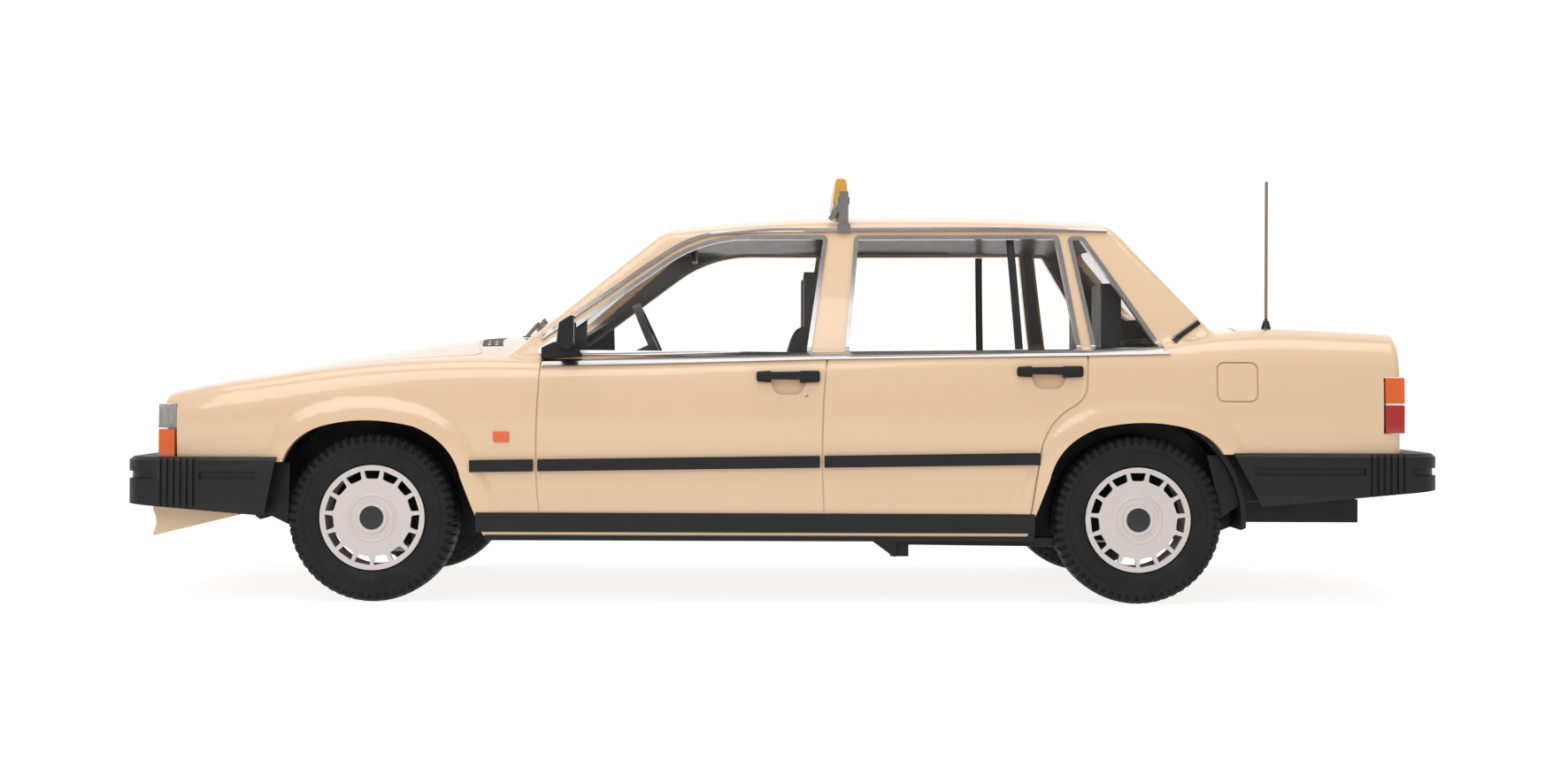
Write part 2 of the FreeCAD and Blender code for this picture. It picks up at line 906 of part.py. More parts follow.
def belt_strips():
    """The bright strip below the side windows, which rises to the rear."""
    outer = lower_body(-belt_strip_stand).fuse(cabin(-belt_strip_stand))
    inner = lower_body().fuse(cabin())
    middle = box(-length, length, -cabin_half_width / 2, cabin_half_width / 2, 0, roof_height)
    return Part.makeCompound(outer.common(belt_band()).cut([inner, middle]).Solids)


def window_bars():
    """The black upright bar in each rear door's window."""
    skin = cabin_skin(glass_sink - window_bar_wall, glass_sink)
    low = belt_height
    high = belt_height + window_height
    outline = path(
        side, (window_bar_x, low), (window_bar_x + window_bar_width, low),
        (window_bar_x + window_bar_width - window_bar_lean, high), (window_bar_x - window_bar_lean, high))
    bar = skin.common(across(outline, cabin_half_width + overrun))
    return Part.makeCompound(bar.common(side_opening(REAR_WINDOW_SHARES, frame_width + fit_gap)).Solids)


def cowl_tray():
    """The black tray between the bonnet's rear edge and the windscreen."""
    skin = lower_body(-cowl_stand).cut(lower_body())
    rear_x = bonnet_line_rear_x + groove_width
    half = bonnet_line_half - bonnet_line_bow
    outline = path(
        plan, (rear_x + cowl_length, -half), (rear_x, -half),
        ((rear_x - bonnet_line_bow, 0), (rear_x, half)), (rear_x + cowl_length, half))
    tray = skin.common(upright(outline, belt_height - cabin_root, roof_height))
    tray = tray.cut(cabin(-fit_gap))
    return max(tray.Solids, key=lambda solid: solid.Volume)


def drip_rails():
    """The bright rail above the side windows on each side."""
    skin = cabin_skin(-rail_stand, 0)
    shares = FRONT_WINDOW_SHARES
    bend = screen_base_x + shares[1][0] * cabin_length
    rear_end = screen_base_x + QUARTER_WINDOW_SHARES[2][0] * cabin_length
    low = belt_height + rail_drop
    high = belt_height + window_height + rail_band
    radius = FRONT_WINDOW_SHARES[1][2] * window_height
    run = (shares[1][0] - shares[0][0]) * cabin_length
    slope = run / window_height / (shares[1][1] - shares[0][1])
    front_foot = bend - slope * window_height
    lean = 3 * rail_band
    foot = front_foot + slope * rail_drop - lean
    line = rounded(side, (
        (foot, low, 0), (bend - lean, high + rail_band, radius),
        (rear_end + rail_drop, high + rail_band, 0), (rear_end + rail_drop, high, 0),
        (bend - lean + rail_band, high, radius), (foot + rail_band * 2, low, 0)))
    band = skin.common(across(line, cabin_half_width + overrun))
    middle = box(-length, length, -rail_half_width / 2, rail_half_width / 2, 0, 2 * roof_height)
    return Part.makeCompound(band.cut(middle).Solids)


def side_strips():
    """The black rub strips, in lengths that stop at the panel lines."""
    skin = lower_body(-strip_stand).cut(lower_body()).cut(flares())
    wide = body_half_width + overrun
    ends = (
        (strip_front_x, strip_wing_end), (strip_wing_end + strip_gap, strip_door_end - strip_gap / 2),
        (strip_door_end + strip_gap / 2, strip_rear_end))
    strips = []
    slope = strip_rise / (strip_rear_end - strip_front_x)
    for start, end in ends:
        low0 = strip_low + slope * (start - strip_front_x)
        low1 = strip_low + slope * (end - strip_front_x)
        outline = path(
            side, (start, low0), (end, low1), (end, low1 + strip_height), (start, low0 + strip_height))
        strips += skin.common(across(outline, wide)).Solids
    return Part.makeCompound(strips)


def sill_covers():
    """The black bands along the sills."""
    skin = lower_body(-sill_stand).cut(lower_body())
    wide = body_half_width + overrun
    bands = skin.common(box(sill_front_x, sill_rear_x, -wide, wide, sill_low, sill_high))
    return Part.makeCompound(bands.Solids)


def bumper_wire(sign, reach, inset):
    """A bumper's plan outline, moved inwards by inset; sign is 1 at the rear."""
    tip = sign * (length / 2 - inset)
    face_x = sign * (length / 2 - bumper_bow - inset)
    end_x = sign * (length / 2 - reach)
    half = bumper_half_width - inset
    turn_x = face_x - sign * bumper_corner
    mid_x = face_x - sign * bumper_corner * bumper_round_share
    mid_y = half - bumper_corner * bumper_round_share
    inner = half - bumper_corner
    return path(
        plan, (end_x, -half), (turn_x, -half), ((mid_x, -mid_y), (face_x, -inner)),
        ((tip, 0), (face_x, inner)), ((mid_x, mid_y), (turn_x, half)), (end_x, half))


def lifted(wire, z):
    """A plan wire raised to a height."""
    wire = wire.copy()
    wire.translate(Vector(0, 0, z))
    return wire


def bumper_grooves(sign, reach, low, high):
    """The long groove of the face, the groove of each side panel and the upright ones at the corners."""
    groove_high = high - bumper_groove_drop + bumper_groove_height
    outside = upright(bumper_wire(sign, reach, -overrun), low - overrun, high + overrun)
    core = upright(bumper_wire(sign, reach, bumper_groove_depth), low - 2 * overrun, high + 2 * overrun)
    rind = outside.cut(core)
    wide = bumper_half_width + 2 * overrun
    rib_end = bumper_rib_start + bumper_rib_count * bumper_rib_pitch
    bands = (
        (-overrun, bumper_rib_start - bumper_rib_pitch, groove_high - bumper_groove_height, groove_high),
        (rib_end, reach - bumper_panel_end, groove_high - bumper_groove_height, groove_high))
    cutters = []
    for start, end, z0, z1 in bands:
        x0, x1 = sorted((sign * (length / 2 - start), sign * (length / 2 - end)))
        cutters.append(box(x0, x1, -wide, wide, z0, z1))
    for index in range(bumper_rib_count):
        start = bumper_rib_start + index * bumper_rib_pitch
        x0, x1 = sorted((sign * (length / 2 - start), sign * (length / 2 - start - bumper_rib_gap)))
        cutters.append(box(x0, x1, -wide, wide, low - overrun, high + overrun))
    return rind.common(joined(cutters))


def bumper(sign, reach, low, height, lean, lift):
    """A wrap-round bumper, hollow where the body stands in it, its lower edge rising to the tip."""
    high = low + height
    levels = ((low, bumper_foot_inset), (low + bumper_foot_height, 0.0),
              (high - bumper_head_height, 0.0), (high, bumper_head_inset))
    wires = [lifted(bumper_wire(sign, reach, inset), z) for z, inset in levels]
    shape = Part.makeLoft(wires, True, True).cut(bumper_grooves(sign, reach, low, high))
    tip = sign * (length / 2 + overrun)
    end_x = sign * (length / 2 - reach)
    under = path(side, (tip, low - overrun), (tip, low + lift), (end_x + sign * lean, low),
                 (end_x, high), (end_x - sign * overrun, high), (end_x - sign * overrun, low - overrun))
    shape = shape.cut(across(under, bumper_half_width + overrun))
    wide = bumper_half_width + overrun
    lamps = lower_body(-lens_stand - fit_gap).common(
        box(-length, length, -wide, wide, lamp_low - fit_gap, roof_height))
    shape = shape.cut([lower_body(-fit_gap, low - overrun), lamps, flares(fit_gap)])
    return max(shape.Solids, key=lambda solid: solid.Volume)


def front_bumper():
    """The front bumper with a seat for the number plate in its face."""
    shape = bumper(-1, front_bumper_reach, front_bumper_low, front_bumper_height, front_bumper_lean,
                   front_bumper_lift)
    return shape.cut(front_plate(plate_wall + overrun))


def rear_bumper():
    """The rear bumper."""
    return bumper(1, rear_bumper_reach, rear_bumper_low, rear_bumper_height, rear_bumper_lean,
                  rear_bumper_lift)


def front_plate(depth):
    """The front number plate, or its seat when it is deeper towards the front."""
    low = front_bumper_low + front_bumper_height - bumper_head_height - plate_height
    return box(-length / 2 + plate_wall - depth, -length / 2 + plate_wall, -plate_length / 2,
               plate_length / 2, low, low + plate_height)


def number_plates():
    """Two blank number plates."""
    rear = box(tail_x - end_trim, tail_x + plate_wall, -plate_length / 2, plate_length / 2, rear_plate_low,
               rear_plate_low + plate_height)
    return Part.makeCompound([front_plate(plate_wall), rear])


def front_valance():
    """The body-coloured spoiler below the front bumper, with a hollow face and a forward lip."""
    front_x = nose_x - valance_lead
    low = valance_high - valance_drop
    outline = path(
        side, (front_x, valance_high - fit_gap),
        ((front_x + valance_hollow, valance_high - valance_drop / 2), (front_x + lens_stand, low)),
        (front_x + lens_stand + valance_lip, low),
        (front_x + valance_length, valance_high - valance_drop / 3),
        (front_x + valance_length, valance_high - fit_gap))
    shape = across(outline, valance_half_width)
    back_x = front_x + valance_length + overrun
    trim = path(
        plan, (back_x, -valance_half_width), (front_x + valance_bow, -valance_half_width),
        ((front_x, 0), (front_x + valance_bow, valance_half_width)), (back_x, valance_half_width))
    shape = shape.common(upright(trim, low - overrun, valance_high + overrun))
    web_x = nose_x + valance_web_inset
    web = box(web_x, web_x + valance_web, -valance_half_width, valance_half_width, valance_high - valance_lip,
              apron_height)
    return joined([shape, web]).cut(chassis_block())


def chassis_block():
    """The outer size of the chassis tray's floor."""
    return box(chassis_front_x, chassis_rear_x, -body_half_width, body_half_width,
               chassis_bottom, chassis_top)


def grille():
    """A bright frame filled with upright bars."""
    x0 = nose_x + lens_stand
    x1 = nose_x + lamp_depth
    frame = box(x0 - lens_stand, x1, -grille_half, grille_half, lamp_low + fit_gap, lamp_high - fit_gap)
    hole = box(x0 - overrun, x1 + overrun, -grille_half + grille_frame, grille_half - grille_frame,
               lamp_low + fit_gap + grille_frame, lamp_high - fit_gap - grille_frame)
    pieces = [frame.cut(hole)]
    count = int((grille_half - grille_frame) / grille_pitch)
    for index in range(-count, count + 1):
        y = index * grille_pitch
        pieces.append(box(x0, x1, y - grille_bar / 2, y + grille_bar / 2, lamp_low + grille_frame / 2,
                          lamp_high - grille_frame / 2))
    return joined(pieces)


def headlamp_reflectors():
    """The bright bowls behind the headlamp lenses."""
    x0 = nose_x + lens_wall + lamp_gap
    x1 = nose_x + corner_lamp_depth - fit_gap
    bowl = box(x0, x1, headlamp_inner, corner_lamp_inner - lamp_gap, lamp_low + fit_gap, lamp_high - fit_gap)
    return both(bowl)


def headlamp_lenses():
    """The clear rectangular headlamp fronts."""
    lens = box(nose_x - lens_stand, nose_x + lens_wall, headlamp_inner, corner_lamp_inner - lamp_gap,
               lamp_low + fit_gap, lamp_high - fit_gap)
    return both(lens.common(lower_body(-lens_stand)))


def corner_lamp(low, high):
    """One part of the corner lamp that wraps round the front wing."""
    block = box(nose_x - lens_stand, nose_x + corner_lamp_depth - fit_gap, corner_lamp_inner,
                body_half_width + overrun, low, high)
    return both(block.common(lower_body(-lens_stand)))


def tail_lamp(low, high, inner, outer):
    """One chamber of the tail lamp cluster."""
    block = box(tail_x - tail_lamp_depth + fit_gap, tail_x + lens_stand, inner, outer, low, high)
    return both(block.common(lower_body(-lens_stand)))


def tail_lamps_red():
    """The red lower chambers."""
    return tail_lamp(tail_lamp_low + fit_gap, tail_lamp_split - lamp_gap / 2,
                     tail_lamp_inner + tail_lamp_clear_width + lamp_gap, body_half_width + overrun)


def tail_lamps_amber():
    """The amber upper chambers."""
    return tail_lamp(tail_lamp_split + lamp_gap / 2, tail_lamp_high - fit_gap,
                     tail_lamp_inner + tail_lamp_clear_width + lamp_gap, body_half_width + overrun)


def tail_lamps_clear():
    """The clear inner chambers."""
    return tail_lamp(tail_lamp_low + fit_gap, tail_lamp_high - fit_gap,
                     tail_lamp_inner + fit_gap, tail_lamp_inner + tail_lamp_clear_width)


def side_repeaters():
    """The small amber lamps on the front wings."""
    skin = lower_body(-repeater_stand).cut(lower_body())
    wide = body_half_width + overrun
    block = box(repeater_x - repeater_length / 2, repeater_x + repeater_length / 2, -wide, wide,
                repeater_z - repeater_height / 2, repeater_z + repeater_height / 2)
    return Part.makeCompound(skin.common(block).Solids)


def door_handles():
    """A flat pull handle on each door."""
    skin = lower_body(-handle_stand).cut(lower_body())
    wide = body_half_width + overrun
    handles = []
    for x, z in ((handle_front_x, handle_front_z), (handle_rear_x, handle_rear_z)):
        block = box(x - handle_length / 2, x + handle_length / 2, -wide, wide,
                    z - handle_height / 2, z + handle_height / 2)
        handles += skin.common(block).Solids
    return Part.makeCompound(handles)


def door_mirrors():
    """The black mirror housings, each on a foot that rises from a patch in the window's corner."""
    outline = rounded(plan, (
        (mirror_x + mirror_length / 2, mirror_reach - mirror_width, mirror_length / 6),
        (mirror_x + mirror_length / 2, mirror_reach, mirror_length / 6),
        (mirror_x, mirror_reach, mirror_length / 3),
        (mirror_x - mirror_length / 2, mirror_reach - mirror_width / 4, mirror_length / 3),
        (mirror_x - mirror_length / 2, mirror_reach - mirror_width, mirror_length / 6)))
    housing = upright(outline, mirror_low, mirror_low + mirror_height)
    seat = box(mirror_x + mirror_length / 2 - mirror_rim, mirror_x + mirror_length,
               mirror_reach - mirror_width + mirror_rim, mirror_reach - mirror_rim,
               mirror_low + mirror_rim, mirror_low + mirror_height - mirror_rim)
    foot_low = mirror_foot_low
    foot = box(mirror_foot_x, mirror_x + mirror_length / 2 - mirror_rim, cabin_half_width - mirror_foot,
               mirror_reach - mirror_width / 2, foot_low, foot_low + mirror_foot)
    shape = joined([housing.cut(seat), foot]).cut([cabin(-frame_stand - fit_gap), lower_body(-fit_gap)])
    shape = max(shape.Solids, key=lambda solid: solid.Volume)
    patch = path(side, (mirror_foot_x, foot_low), (mirror_patch_end, foot_low),
                 (mirror_patch_end, foot_low + mirror_height))
    lug = cabin_skin(-frame_stand - 2 * fit_gap, glass_sink - fit_gap / 2)
    opening = side_opening(FRONT_WINDOW_SHARES, frame_width + fit_gap)
    lug = lug.common(across(patch, cabin_half_width + overrun)).common(opening)
    cover = [solid for solid in lug.Solids if solid.CenterOfMass.y > 0]
    shape = joined([shape] + cover)
    return both(shape)


def mirror_glasses():
    """The reflecting panes in the mirror housings."""
    gap = mirror_rim + fit_gap
    rear_x = mirror_x + mirror_length / 2
    pane = box(rear_x - mirror_rim + fit_gap / 2, rear_x - fit_gap, mirror_reach - mirror_width + gap,
               mirror_reach - gap, mirror_low + gap, mirror_low + mirror_height - gap)
    return both(pane)


def roof_sign_frame():
    """A bar across the roof, with an upright, a strut and a clamp foot over each drip rail."""
    low = sign_bar_low
    bar = box(sign_x - sign_bar_length / 2, sign_x + sign_bar_length / 2, -sign_half_width, sign_half_width,
              low, low + sign_bar_height)
    rail_top = belt_height + window_height + 2 * rail_band
    y0 = sign_half_width - sign_plate / 2
    y1 = sign_half_width + sign_plate / 2
    plate = box(sign_x - sign_plate_length / 2, sign_x + sign_plate_length / 2, y0, y1, rail_top,
                low + sign_bar_height + sign_plate_rise)
    strut = beam(Vector(sign_x - sign_strut_reach, sign_half_width, rail_top + sign_foot_height),
                 Vector(sign_x, sign_half_width, low), sign_plate, sign_plate, Vector(0, 0, 1))
    foot = box(sign_x - sign_foot_length / 2, sign_x + sign_foot_length / 2, y0,
               y1 + sign_foot_overhang, rail_top - sign_foot_height, rail_top + sign_foot_height / 2)
    ends = [plate, strut, foot]
    ends += [mirrored(piece) for piece in ends]
    rails = drip_rails()
    frame = joined([bar] + ends).cut([cabin(-fit_gap)] + rails.Solids)
    return max(frame.Solids, key=lambda solid: solid.Volume)


def roof_sign_lens():
    """The plain tapered lamp on the bar."""
    low = sign_bar_low + sign_bar_height
    outline = rounded(side, (
        (sign_x - sign_lens_length / 2, low, 0), (sign_x + sign_lens_length / 2, low, 0),
        (sign_x + sign_top_length / 2, sign_top, sign_top_length / 3),
        (sign_x - sign_top_length / 2, sign_top, sign_top_length / 3)))
    return across(outline, sign_lens_half)


def deck_height(x, y):
    """How high the body's top skin is at a place."""
    line = Part.LineSegment(Vector(x, y, belt_height - overrun), Vector(x, y, roof_height)).toShape()
    return line.common(lower_body()).BoundBox.ZMax


def aerial():
    """A thin whip on a stepped base, standing on the boot lid."""
    low = deck_height(aerial_x, aerial_y)
    base = Part.makeCone(aerial_base_radius, aerial_base_radius / 2, aerial_base_height,
                         Vector(aerial_x, aerial_y, low))
    whip = rod_z(aerial_radius, aerial_x, aerial_y, low + aerial_base_height / 2, aerial_top)
    return joined([base, whip]).cut(lower_body())


def screen_point(up, y, lift):
    """A place on the windscreen: up along its slope from the belt, y across, lift off the surface."""
    rake = math.radians(screen_rake)
    bow = screen_bow * (1 - (y / cabin_half_width) ** 2)
    x = screen_base_x - bow + up * math.cos(rake) - lift * math.sin(rake)
    return Vector(x, y, belt_height + up * math.sin(rake) + lift * math.cos(rake))


def wipers():
    """Two wipers parked low on the windscreen, each an arm that carries a blade."""
    up = Vector(-math.sin(math.radians(screen_rake)), 0, math.cos(math.radians(screen_rake)))
    sets = []
    for shift in (-wiper_spacing / 2, wiper_spacing / 2):
        foot_y = shift + wiper_blade_length / 2
        tip = screen_point(wiper_park, shift, wiper_blade_height + fit_gap)
        foot = screen_point(wiper_foot, foot_y, wiper_blade_height + fit_gap)
        blade0 = screen_point(wiper_park - wiper_slant, shift + wiper_blade_length / 2, fit_gap)
        blade1 = screen_point(wiper_park + wiper_slant, shift - wiper_blade_length / 2, fit_gap)
        blade = beam(blade0, blade1, wiper_blade_width, wiper_blade_height + wiper_lap, up)
        arm = beam(foot, tip, wiper_arm_width, wiper_arm_height, up)
        stem_z = foot.z - wiper_stem_height
        stem = rod_z(wiper_arm_width, foot.x, foot.y, stem_z, foot.z + wiper_arm_height)
        sets.append(joined([blade, arm, stem]).cut([lower_body(-cowl_stand), cabin(-fit_gap / 2)]))
    return Part.makeCompound([max(one.Solids, key=lambda solid: solid.Volume) for one in sets])


def well(x, radius, inner_y, low):
    """One wheel well's space: a drum across the car, open downwards to a height."""
    drum = rod_y(radius, x, tyre_radius, inner_y, body_half_width)
    return joined([drum, box(x - radius, x + radius, inner_y, body_half_width, low, tyre_radius)])


def wells(extra):
    """The spaces of all four wheel wells, grown by extra."""
    spaces = []
    for radius, inner_y, x in ((front_well_radius, front_well_y, front_axle_x),
                               (rear_well_radius, rear_well_y, rear_axle_x)):
        low = chassis_bottom if extra else chassis_bottom - overrun
        space = well(x, radius + extra, inner_y - extra, low)
        floor = box(-length, length, -body_half_width, body_half_width, -overrun, low)
        space = space.cut(floor)
        spaces += [space, mirrored(space)]
    return spaces


def screw_places():
    """Where the two screws stand on the centre line."""
    middle = (chassis_front_x + chassis_rear_x) / 2
    return (middle - screw_spacing / 2, middle + screw_spacing / 2)


def floor_relief():
    """The shapes moulded into the underside: sump, gearbox, shaft, axle tube, arms and jack hooks."""
    low = chassis_bottom
    top = chassis_bottom + chassis_plate / 2
    sump_x = front_axle_x + cross_member_half + steer_arm_length
    gearbox_x = sump_x + sump_length
    shaft_end = rear_axle_x
    pieces = [
        box(sump_x, gearbox_x, -sump_half, sump_half, low - sump_depth, top),
        along(path(front, (-gearbox_half, top), (-gearbox_half, low - relief_depth / 2),
                   (-gearbox_half / 2, low - relief_depth), (gearbox_half / 2, low - relief_depth),
                   (gearbox_half, low - relief_depth / 2), (gearbox_half, top)),
              gearbox_x, gearbox_x + gearbox_length),
        rod_x(shaft_radius, 0, low, gearbox_x, shaft_end),
        rod_y(axle_tube_radius, rear_axle_x, low, -rear_well_y + well_wall, rear_well_y - well_wall),
        rod_x(differential_radius, 0, low, rear_axle_x - differential_radius,
              rear_axle_x + differential_radius),
    ]
    for sign in (-1, 1):
        y0, y1 = sorted((sign * jack_y, sign * (jack_y - jack_width)))
        pieces.append(box(jack_x, jack_x + jack_length, y0, y1, jack_low, top))
        y0, y1 = sorted((sign * trailing_arm_y, sign * (trailing_arm_y - trailing_arm_width)))
        arm_x = rear_axle_x - trailing_arm_length
        pieces.append(box(arm_x, rear_axle_x, y0, y1, low - relief_depth / 2, top))
    roof = box(-length, length, -body_half_width, body_half_width, top, roof_height)
    return [piece.cut(roof) for piece in pieces]


def chassis_ramp(end_x, toward, rise):
    """The sloping plate at one end of the tray, and the space below it."""
    foot_x = end_x + toward * chassis_ramp_length
    low = chassis_bottom
    plate = path(side, (foot_x, low), (end_x, low + rise), (end_x, low + rise + chassis_plate),
                 (foot_x, low + chassis_plate))
    space = path(side, (foot_x, low), (end_x, low + rise), (end_x - toward * overrun, low + rise),
                 (end_x - toward * overrun, low - overrun), (foot_x, low - overrun))
    return across(plate, tail_box_half), across(space, body_half_width + overrun)


def chassis():
    """The black tray: floor, wheel wells, kingpin tongues, tail box and screw bosses."""
    inner = lower_body(body_wall + seat_gap, chassis_bottom - overrun)
    floor = chassis_block()
    ramps = [chassis_ramp(chassis_front_x, 1, nose_ramp_rise),
             chassis_ramp(chassis_rear_x, -1, tail_box_low - chassis_bottom)]
    drums = wells(well_wall)
    tail_box = box(chassis_rear_x - overrun, tail_box_end, -tail_box_half, tail_box_half,
                   tail_box_low, tail_box_high)
    tail_step = box(chassis_rear_x - chassis_plate, chassis_rear_x, -tail_box_half, tail_box_half,
                    chassis_bottom, tail_box_high)
    nose_step = box(chassis_front_x, chassis_front_x + chassis_plate, -tail_box_half, tail_box_half,
                    chassis_bottom, apron_height)
    bosses = [rod_z(screw_boss_radius, x, 0, chassis_bottom, chassis_bottom + screw_boss_height)
              for x in screw_places()]
    relief = floor_relief()
    tray = joined([floor] + drums + [tail_step, tail_box, nose_step] + bosses).common(inner)
    tray = joined([tray.cut([space for _, space in ramps])] + [plate for plate, _ in ramps] + relief)
    tray = tray.cut(wells(0))
    for sign in (-1, 1):
        y0, y1 = sorted((sign * (front_well_y - well_wall), sign * kingpin_y))
        tongue = box(front_axle_x - kingpin_eye, front_axle_x + kingpin_eye, y0, y1,
                     upper_arm_low, upper_arm_low + arm_plate)
        eye = rod_z(kingpin_eye, front_axle_x, sign * kingpin_y, upper_arm_low, upper_arm_low + arm_plate)
        pin = rod_z(kingpin_radius + running_gap, front_axle_x, sign * kingpin_y, 0, tyre_radius * 2)
        tray = joined([tray, tongue, eye]).cut(pin)
    holes = [rod_z(screw_radius, x, 0, 0, tyre_radius * 2) for x in screw_places()]
    axle_slot = rod_y(axle_radius + running_gap, rear_axle_x, tyre_radius, -track, track)
    return tray.cut(holes + [axle_slot])


def front_subframe():
    """The cross member below the chassis, with an eye for each kingpin."""
    low = chassis_bottom - arm_plate
    member = box(front_axle_x - cross_member_half, front_axle_x + cross_member_half,
                 -front_well_y + well_wall, front_well_y - well_wall, low, chassis_bottom)
    arm = box(front_axle_x - kingpin_eye, front_axle_x + kingpin_eye, -kingpin_y, kingpin_y,
              low, chassis_bottom)
    pieces = [member, arm]
    holes = []
    for sign in (-1, 1):
        pieces.append(rod_z(kingpin_eye, front_axle_x, sign * kingpin_y, low, chassis_bottom))
        holes.append(rod_z(kingpin_radius + running_gap, front_axle_x, sign * kingpin_y, 0, tyre_radius))
    return joined(pieces).cut(holes)


def knuckle(sign):
    """A kingpin with its block, stub axle and steering arm; sign is -1 on the left."""
    low = chassis_bottom - arm_plate - knuckle_gap
    y = sign * kingpin_y
    pin = rod_z(kingpin_radius, front_axle_x, y, low - steer_plate, upper_arm_low + arm_plate)
    y0, y1 = y - knuckle_half, y + knuckle_half
    block = box(front_axle_x - knuckle_half, front_axle_x + knuckle_half, y0, y1,
                chassis_bottom + knuckle_gap, upper_arm_low - knuckle_gap)
    stub_end = sign * (wheel_y + tyre_width / 2 - cover_sink - cover_plate - knuckle_gap)
    stub0, stub1 = sorted((y, stub_end))
    stub = rod_y(axle_radius, front_axle_x, tyre_radius, stub0, stub1)
    arm = box(front_axle_x, front_axle_x + steer_arm_length, y - tie_eye, y + tie_eye,
              low - steer_plate, low)
    eye = rod_z(tie_eye, front_axle_x + steer_arm_length, y, low - steer_plate, low)
    tie_pin = rod_z(tie_pin_radius, front_axle_x + steer_arm_length, y, low - steer_plate,
                    low + knuckle_gap + tie_plate)
    return joined([pin, block, stub, arm, eye, tie_pin])


def tie_rod():
    """The bar that links the two steering arms, with an eye over each arm's pin."""
    low = chassis_bottom - arm_plate
    x = front_axle_x + steer_arm_length
    half = tie_eye * tie_bar_share
    bar = box(x - half, x + half, -kingpin_y, kingpin_y, low, low + tie_plate)
    pieces = [bar]
    holes = []
    for sign in (-1, 1):
        pieces.append(rod_z(tie_eye, x, sign * kingpin_y, low, low + tie_plate))
        holes.append(rod_z(tie_pin_radius + running_gap, x, sign * kingpin_y, 0, tyre_radius))
    return joined(pieces).cut(holes)


def rear_axle():
    """The round axle that carries both rear wheels."""
    stub_end = wheel_y + tyre_width / 2 - cover_sink - cover_plate - knuckle_gap
    return rod_y(axle_radius, rear_axle_x, tyre_radius, -stub_end, stub_end)


def tyre():
    """One tyre about the origin, its axle along Y."""
    half = tyre_width / 2
    bore = rim_radius + running_gap
    shoulder = tyre_radius - tyre_shoulder_drop
    tread_half = half - tyre_shoulder_width
    profile = ((-half, bore), (-half, shoulder), (-tread_half, tyre_radius), (tread_half, tyre_radius),
               (half, shoulder), (half, bore))
    wire = path(front, *profile)
    return Part.Face(wire).revolve(Vector(0, 0, 0), Vector(0, 1, 0), 360)


def wheel():
    """One rim and its slotted cover about the origin, the cover at -Y."""
    outer = -tyre_width / 2 + cover_sink
    barrel_end = outer + barrel_width
    barrel = rod_y(rim_radius, 0, 0, outer, barrel_end).cut(
        rod_y(rim_radius - barrel_wall, 0, 0, outer + cover_plate, barrel_end + overrun))
    half_turn = math.pi / spoke_count
    bar = cover_disc_radius * spoke_share * half_turn
    inner_half = cover_disc_radius * math.tan(half_turn) - bar
    outer_half = cover_ring_inner * math.tan(half_turn) - bar * spoke_taper_share
    slot_wire = path(side, (-inner_half, cover_disc_radius), (-outer_half, cover_ring_inner),
                     (outer_half, cover_ring_inner), (inner_half, cover_disc_radius))
    slots = []
    for index in range(spoke_count):
        slot = slab(slot_wire, Vector(0, outer - overrun, 0), Vector(0, cover_plate + 2 * overrun, 0))
        slot.rotate(Vector(0, 0, 0), Vector(0, 1, 0), 360 * index / spoke_count)
        slots.append(slot)
    hub = rod_y(hub_radius, 0, 0, outer, outer + hub_depth)
    boss = rod_y(boss_radius, 0, 0, outer - boss_stand, outer + cover_plate)
    bore = rod_y(axle_radius + running_gap, 0, 0, outer + cover_plate, outer + hub_depth + overrun)
    return joined([barrel.cut(slots), hub, boss]).cut(bore)


def placed(shape, axle_x, sign):
    """A wheel part put on its axle; sign is 1 on the right, where it is turned about."""
    shape = shape.copy()
    if sign > 0:
        shape.rotate(Vector(0, 0, 0), Vector(0, 0, 1), 180)
    shape.translate(Vector(axle_x, sign * wheel_y, tyre_radius))
    return shape


def exhaust():
    """The silencer and pipes below the floor, the tail pipe rising to its tip behind the wheels."""
    y = muffler_y
    half = muffler_width / 2
    outline = rounded(front, (
        (y - half, muffler_low, pipe_radius), (y + half, muffler_low, pipe_radius),
        (y + half, chassis_bottom, 0), (y - half, chassis_bottom, 0)))
    muffler = along(outline, muffler_front_x, muffler_front_x + muffler_length)
    pipe_z = chassis_bottom - pipe_radius
    front_pipe = rod_x(pipe_radius, y, pipe_z, pipe_front_x, muffler_front_x + pipe_radius)
    bend = Vector(tail_pipe_bend_x, y, pipe_z)
    middle = rod_x(pipe_radius, y, pipe_z, muffler_front_x + muffler_length - pipe_radius, bend.x)
    tip = Vector(tail_pipe_end_x, y, tail_pipe_height)
    tail = Part.makeCylinder(pipe_radius, (tip - bend).Length, bend, tip - bend)
    elbow = Part.makeSphere(pipe_radius, bend)
    whole = joined([muffler, front_pipe, middle, elbow, tail])
    shaft = rod_y(axle_tube_radius + seat_gap, rear_axle_x, chassis_bottom, -track, track)
    return max(whole.cut(shaft).Solids, key=lambda solid: solid.Volume)


def interior_tub():
    """The cabin's floor, door linings and bulkheads in one moulding."""
    outer = box(tub_front_x, tub_rear_x, -tub_half_width, tub_half_width, chassis_top, tub_high)
    inner = box(tub_front_x + tub_wall, tub_rear_x - tub_wall, -tub_half_width + tub_wall,
                tub_half_width - tub_wall, chassis_top + tub_wall, tub_high + overrun)
    tub = outer.cut(inner).common(interior())
    tub = tub.cut(wells(well_wall + seat_gap))
    tub = tub.cut([rod_z(screw_boss_radius + seat_gap, x, 0, 0, belt_height) for x in screw_places()])
    return max(tub.Solids, key=lambda solid: solid.Volume)


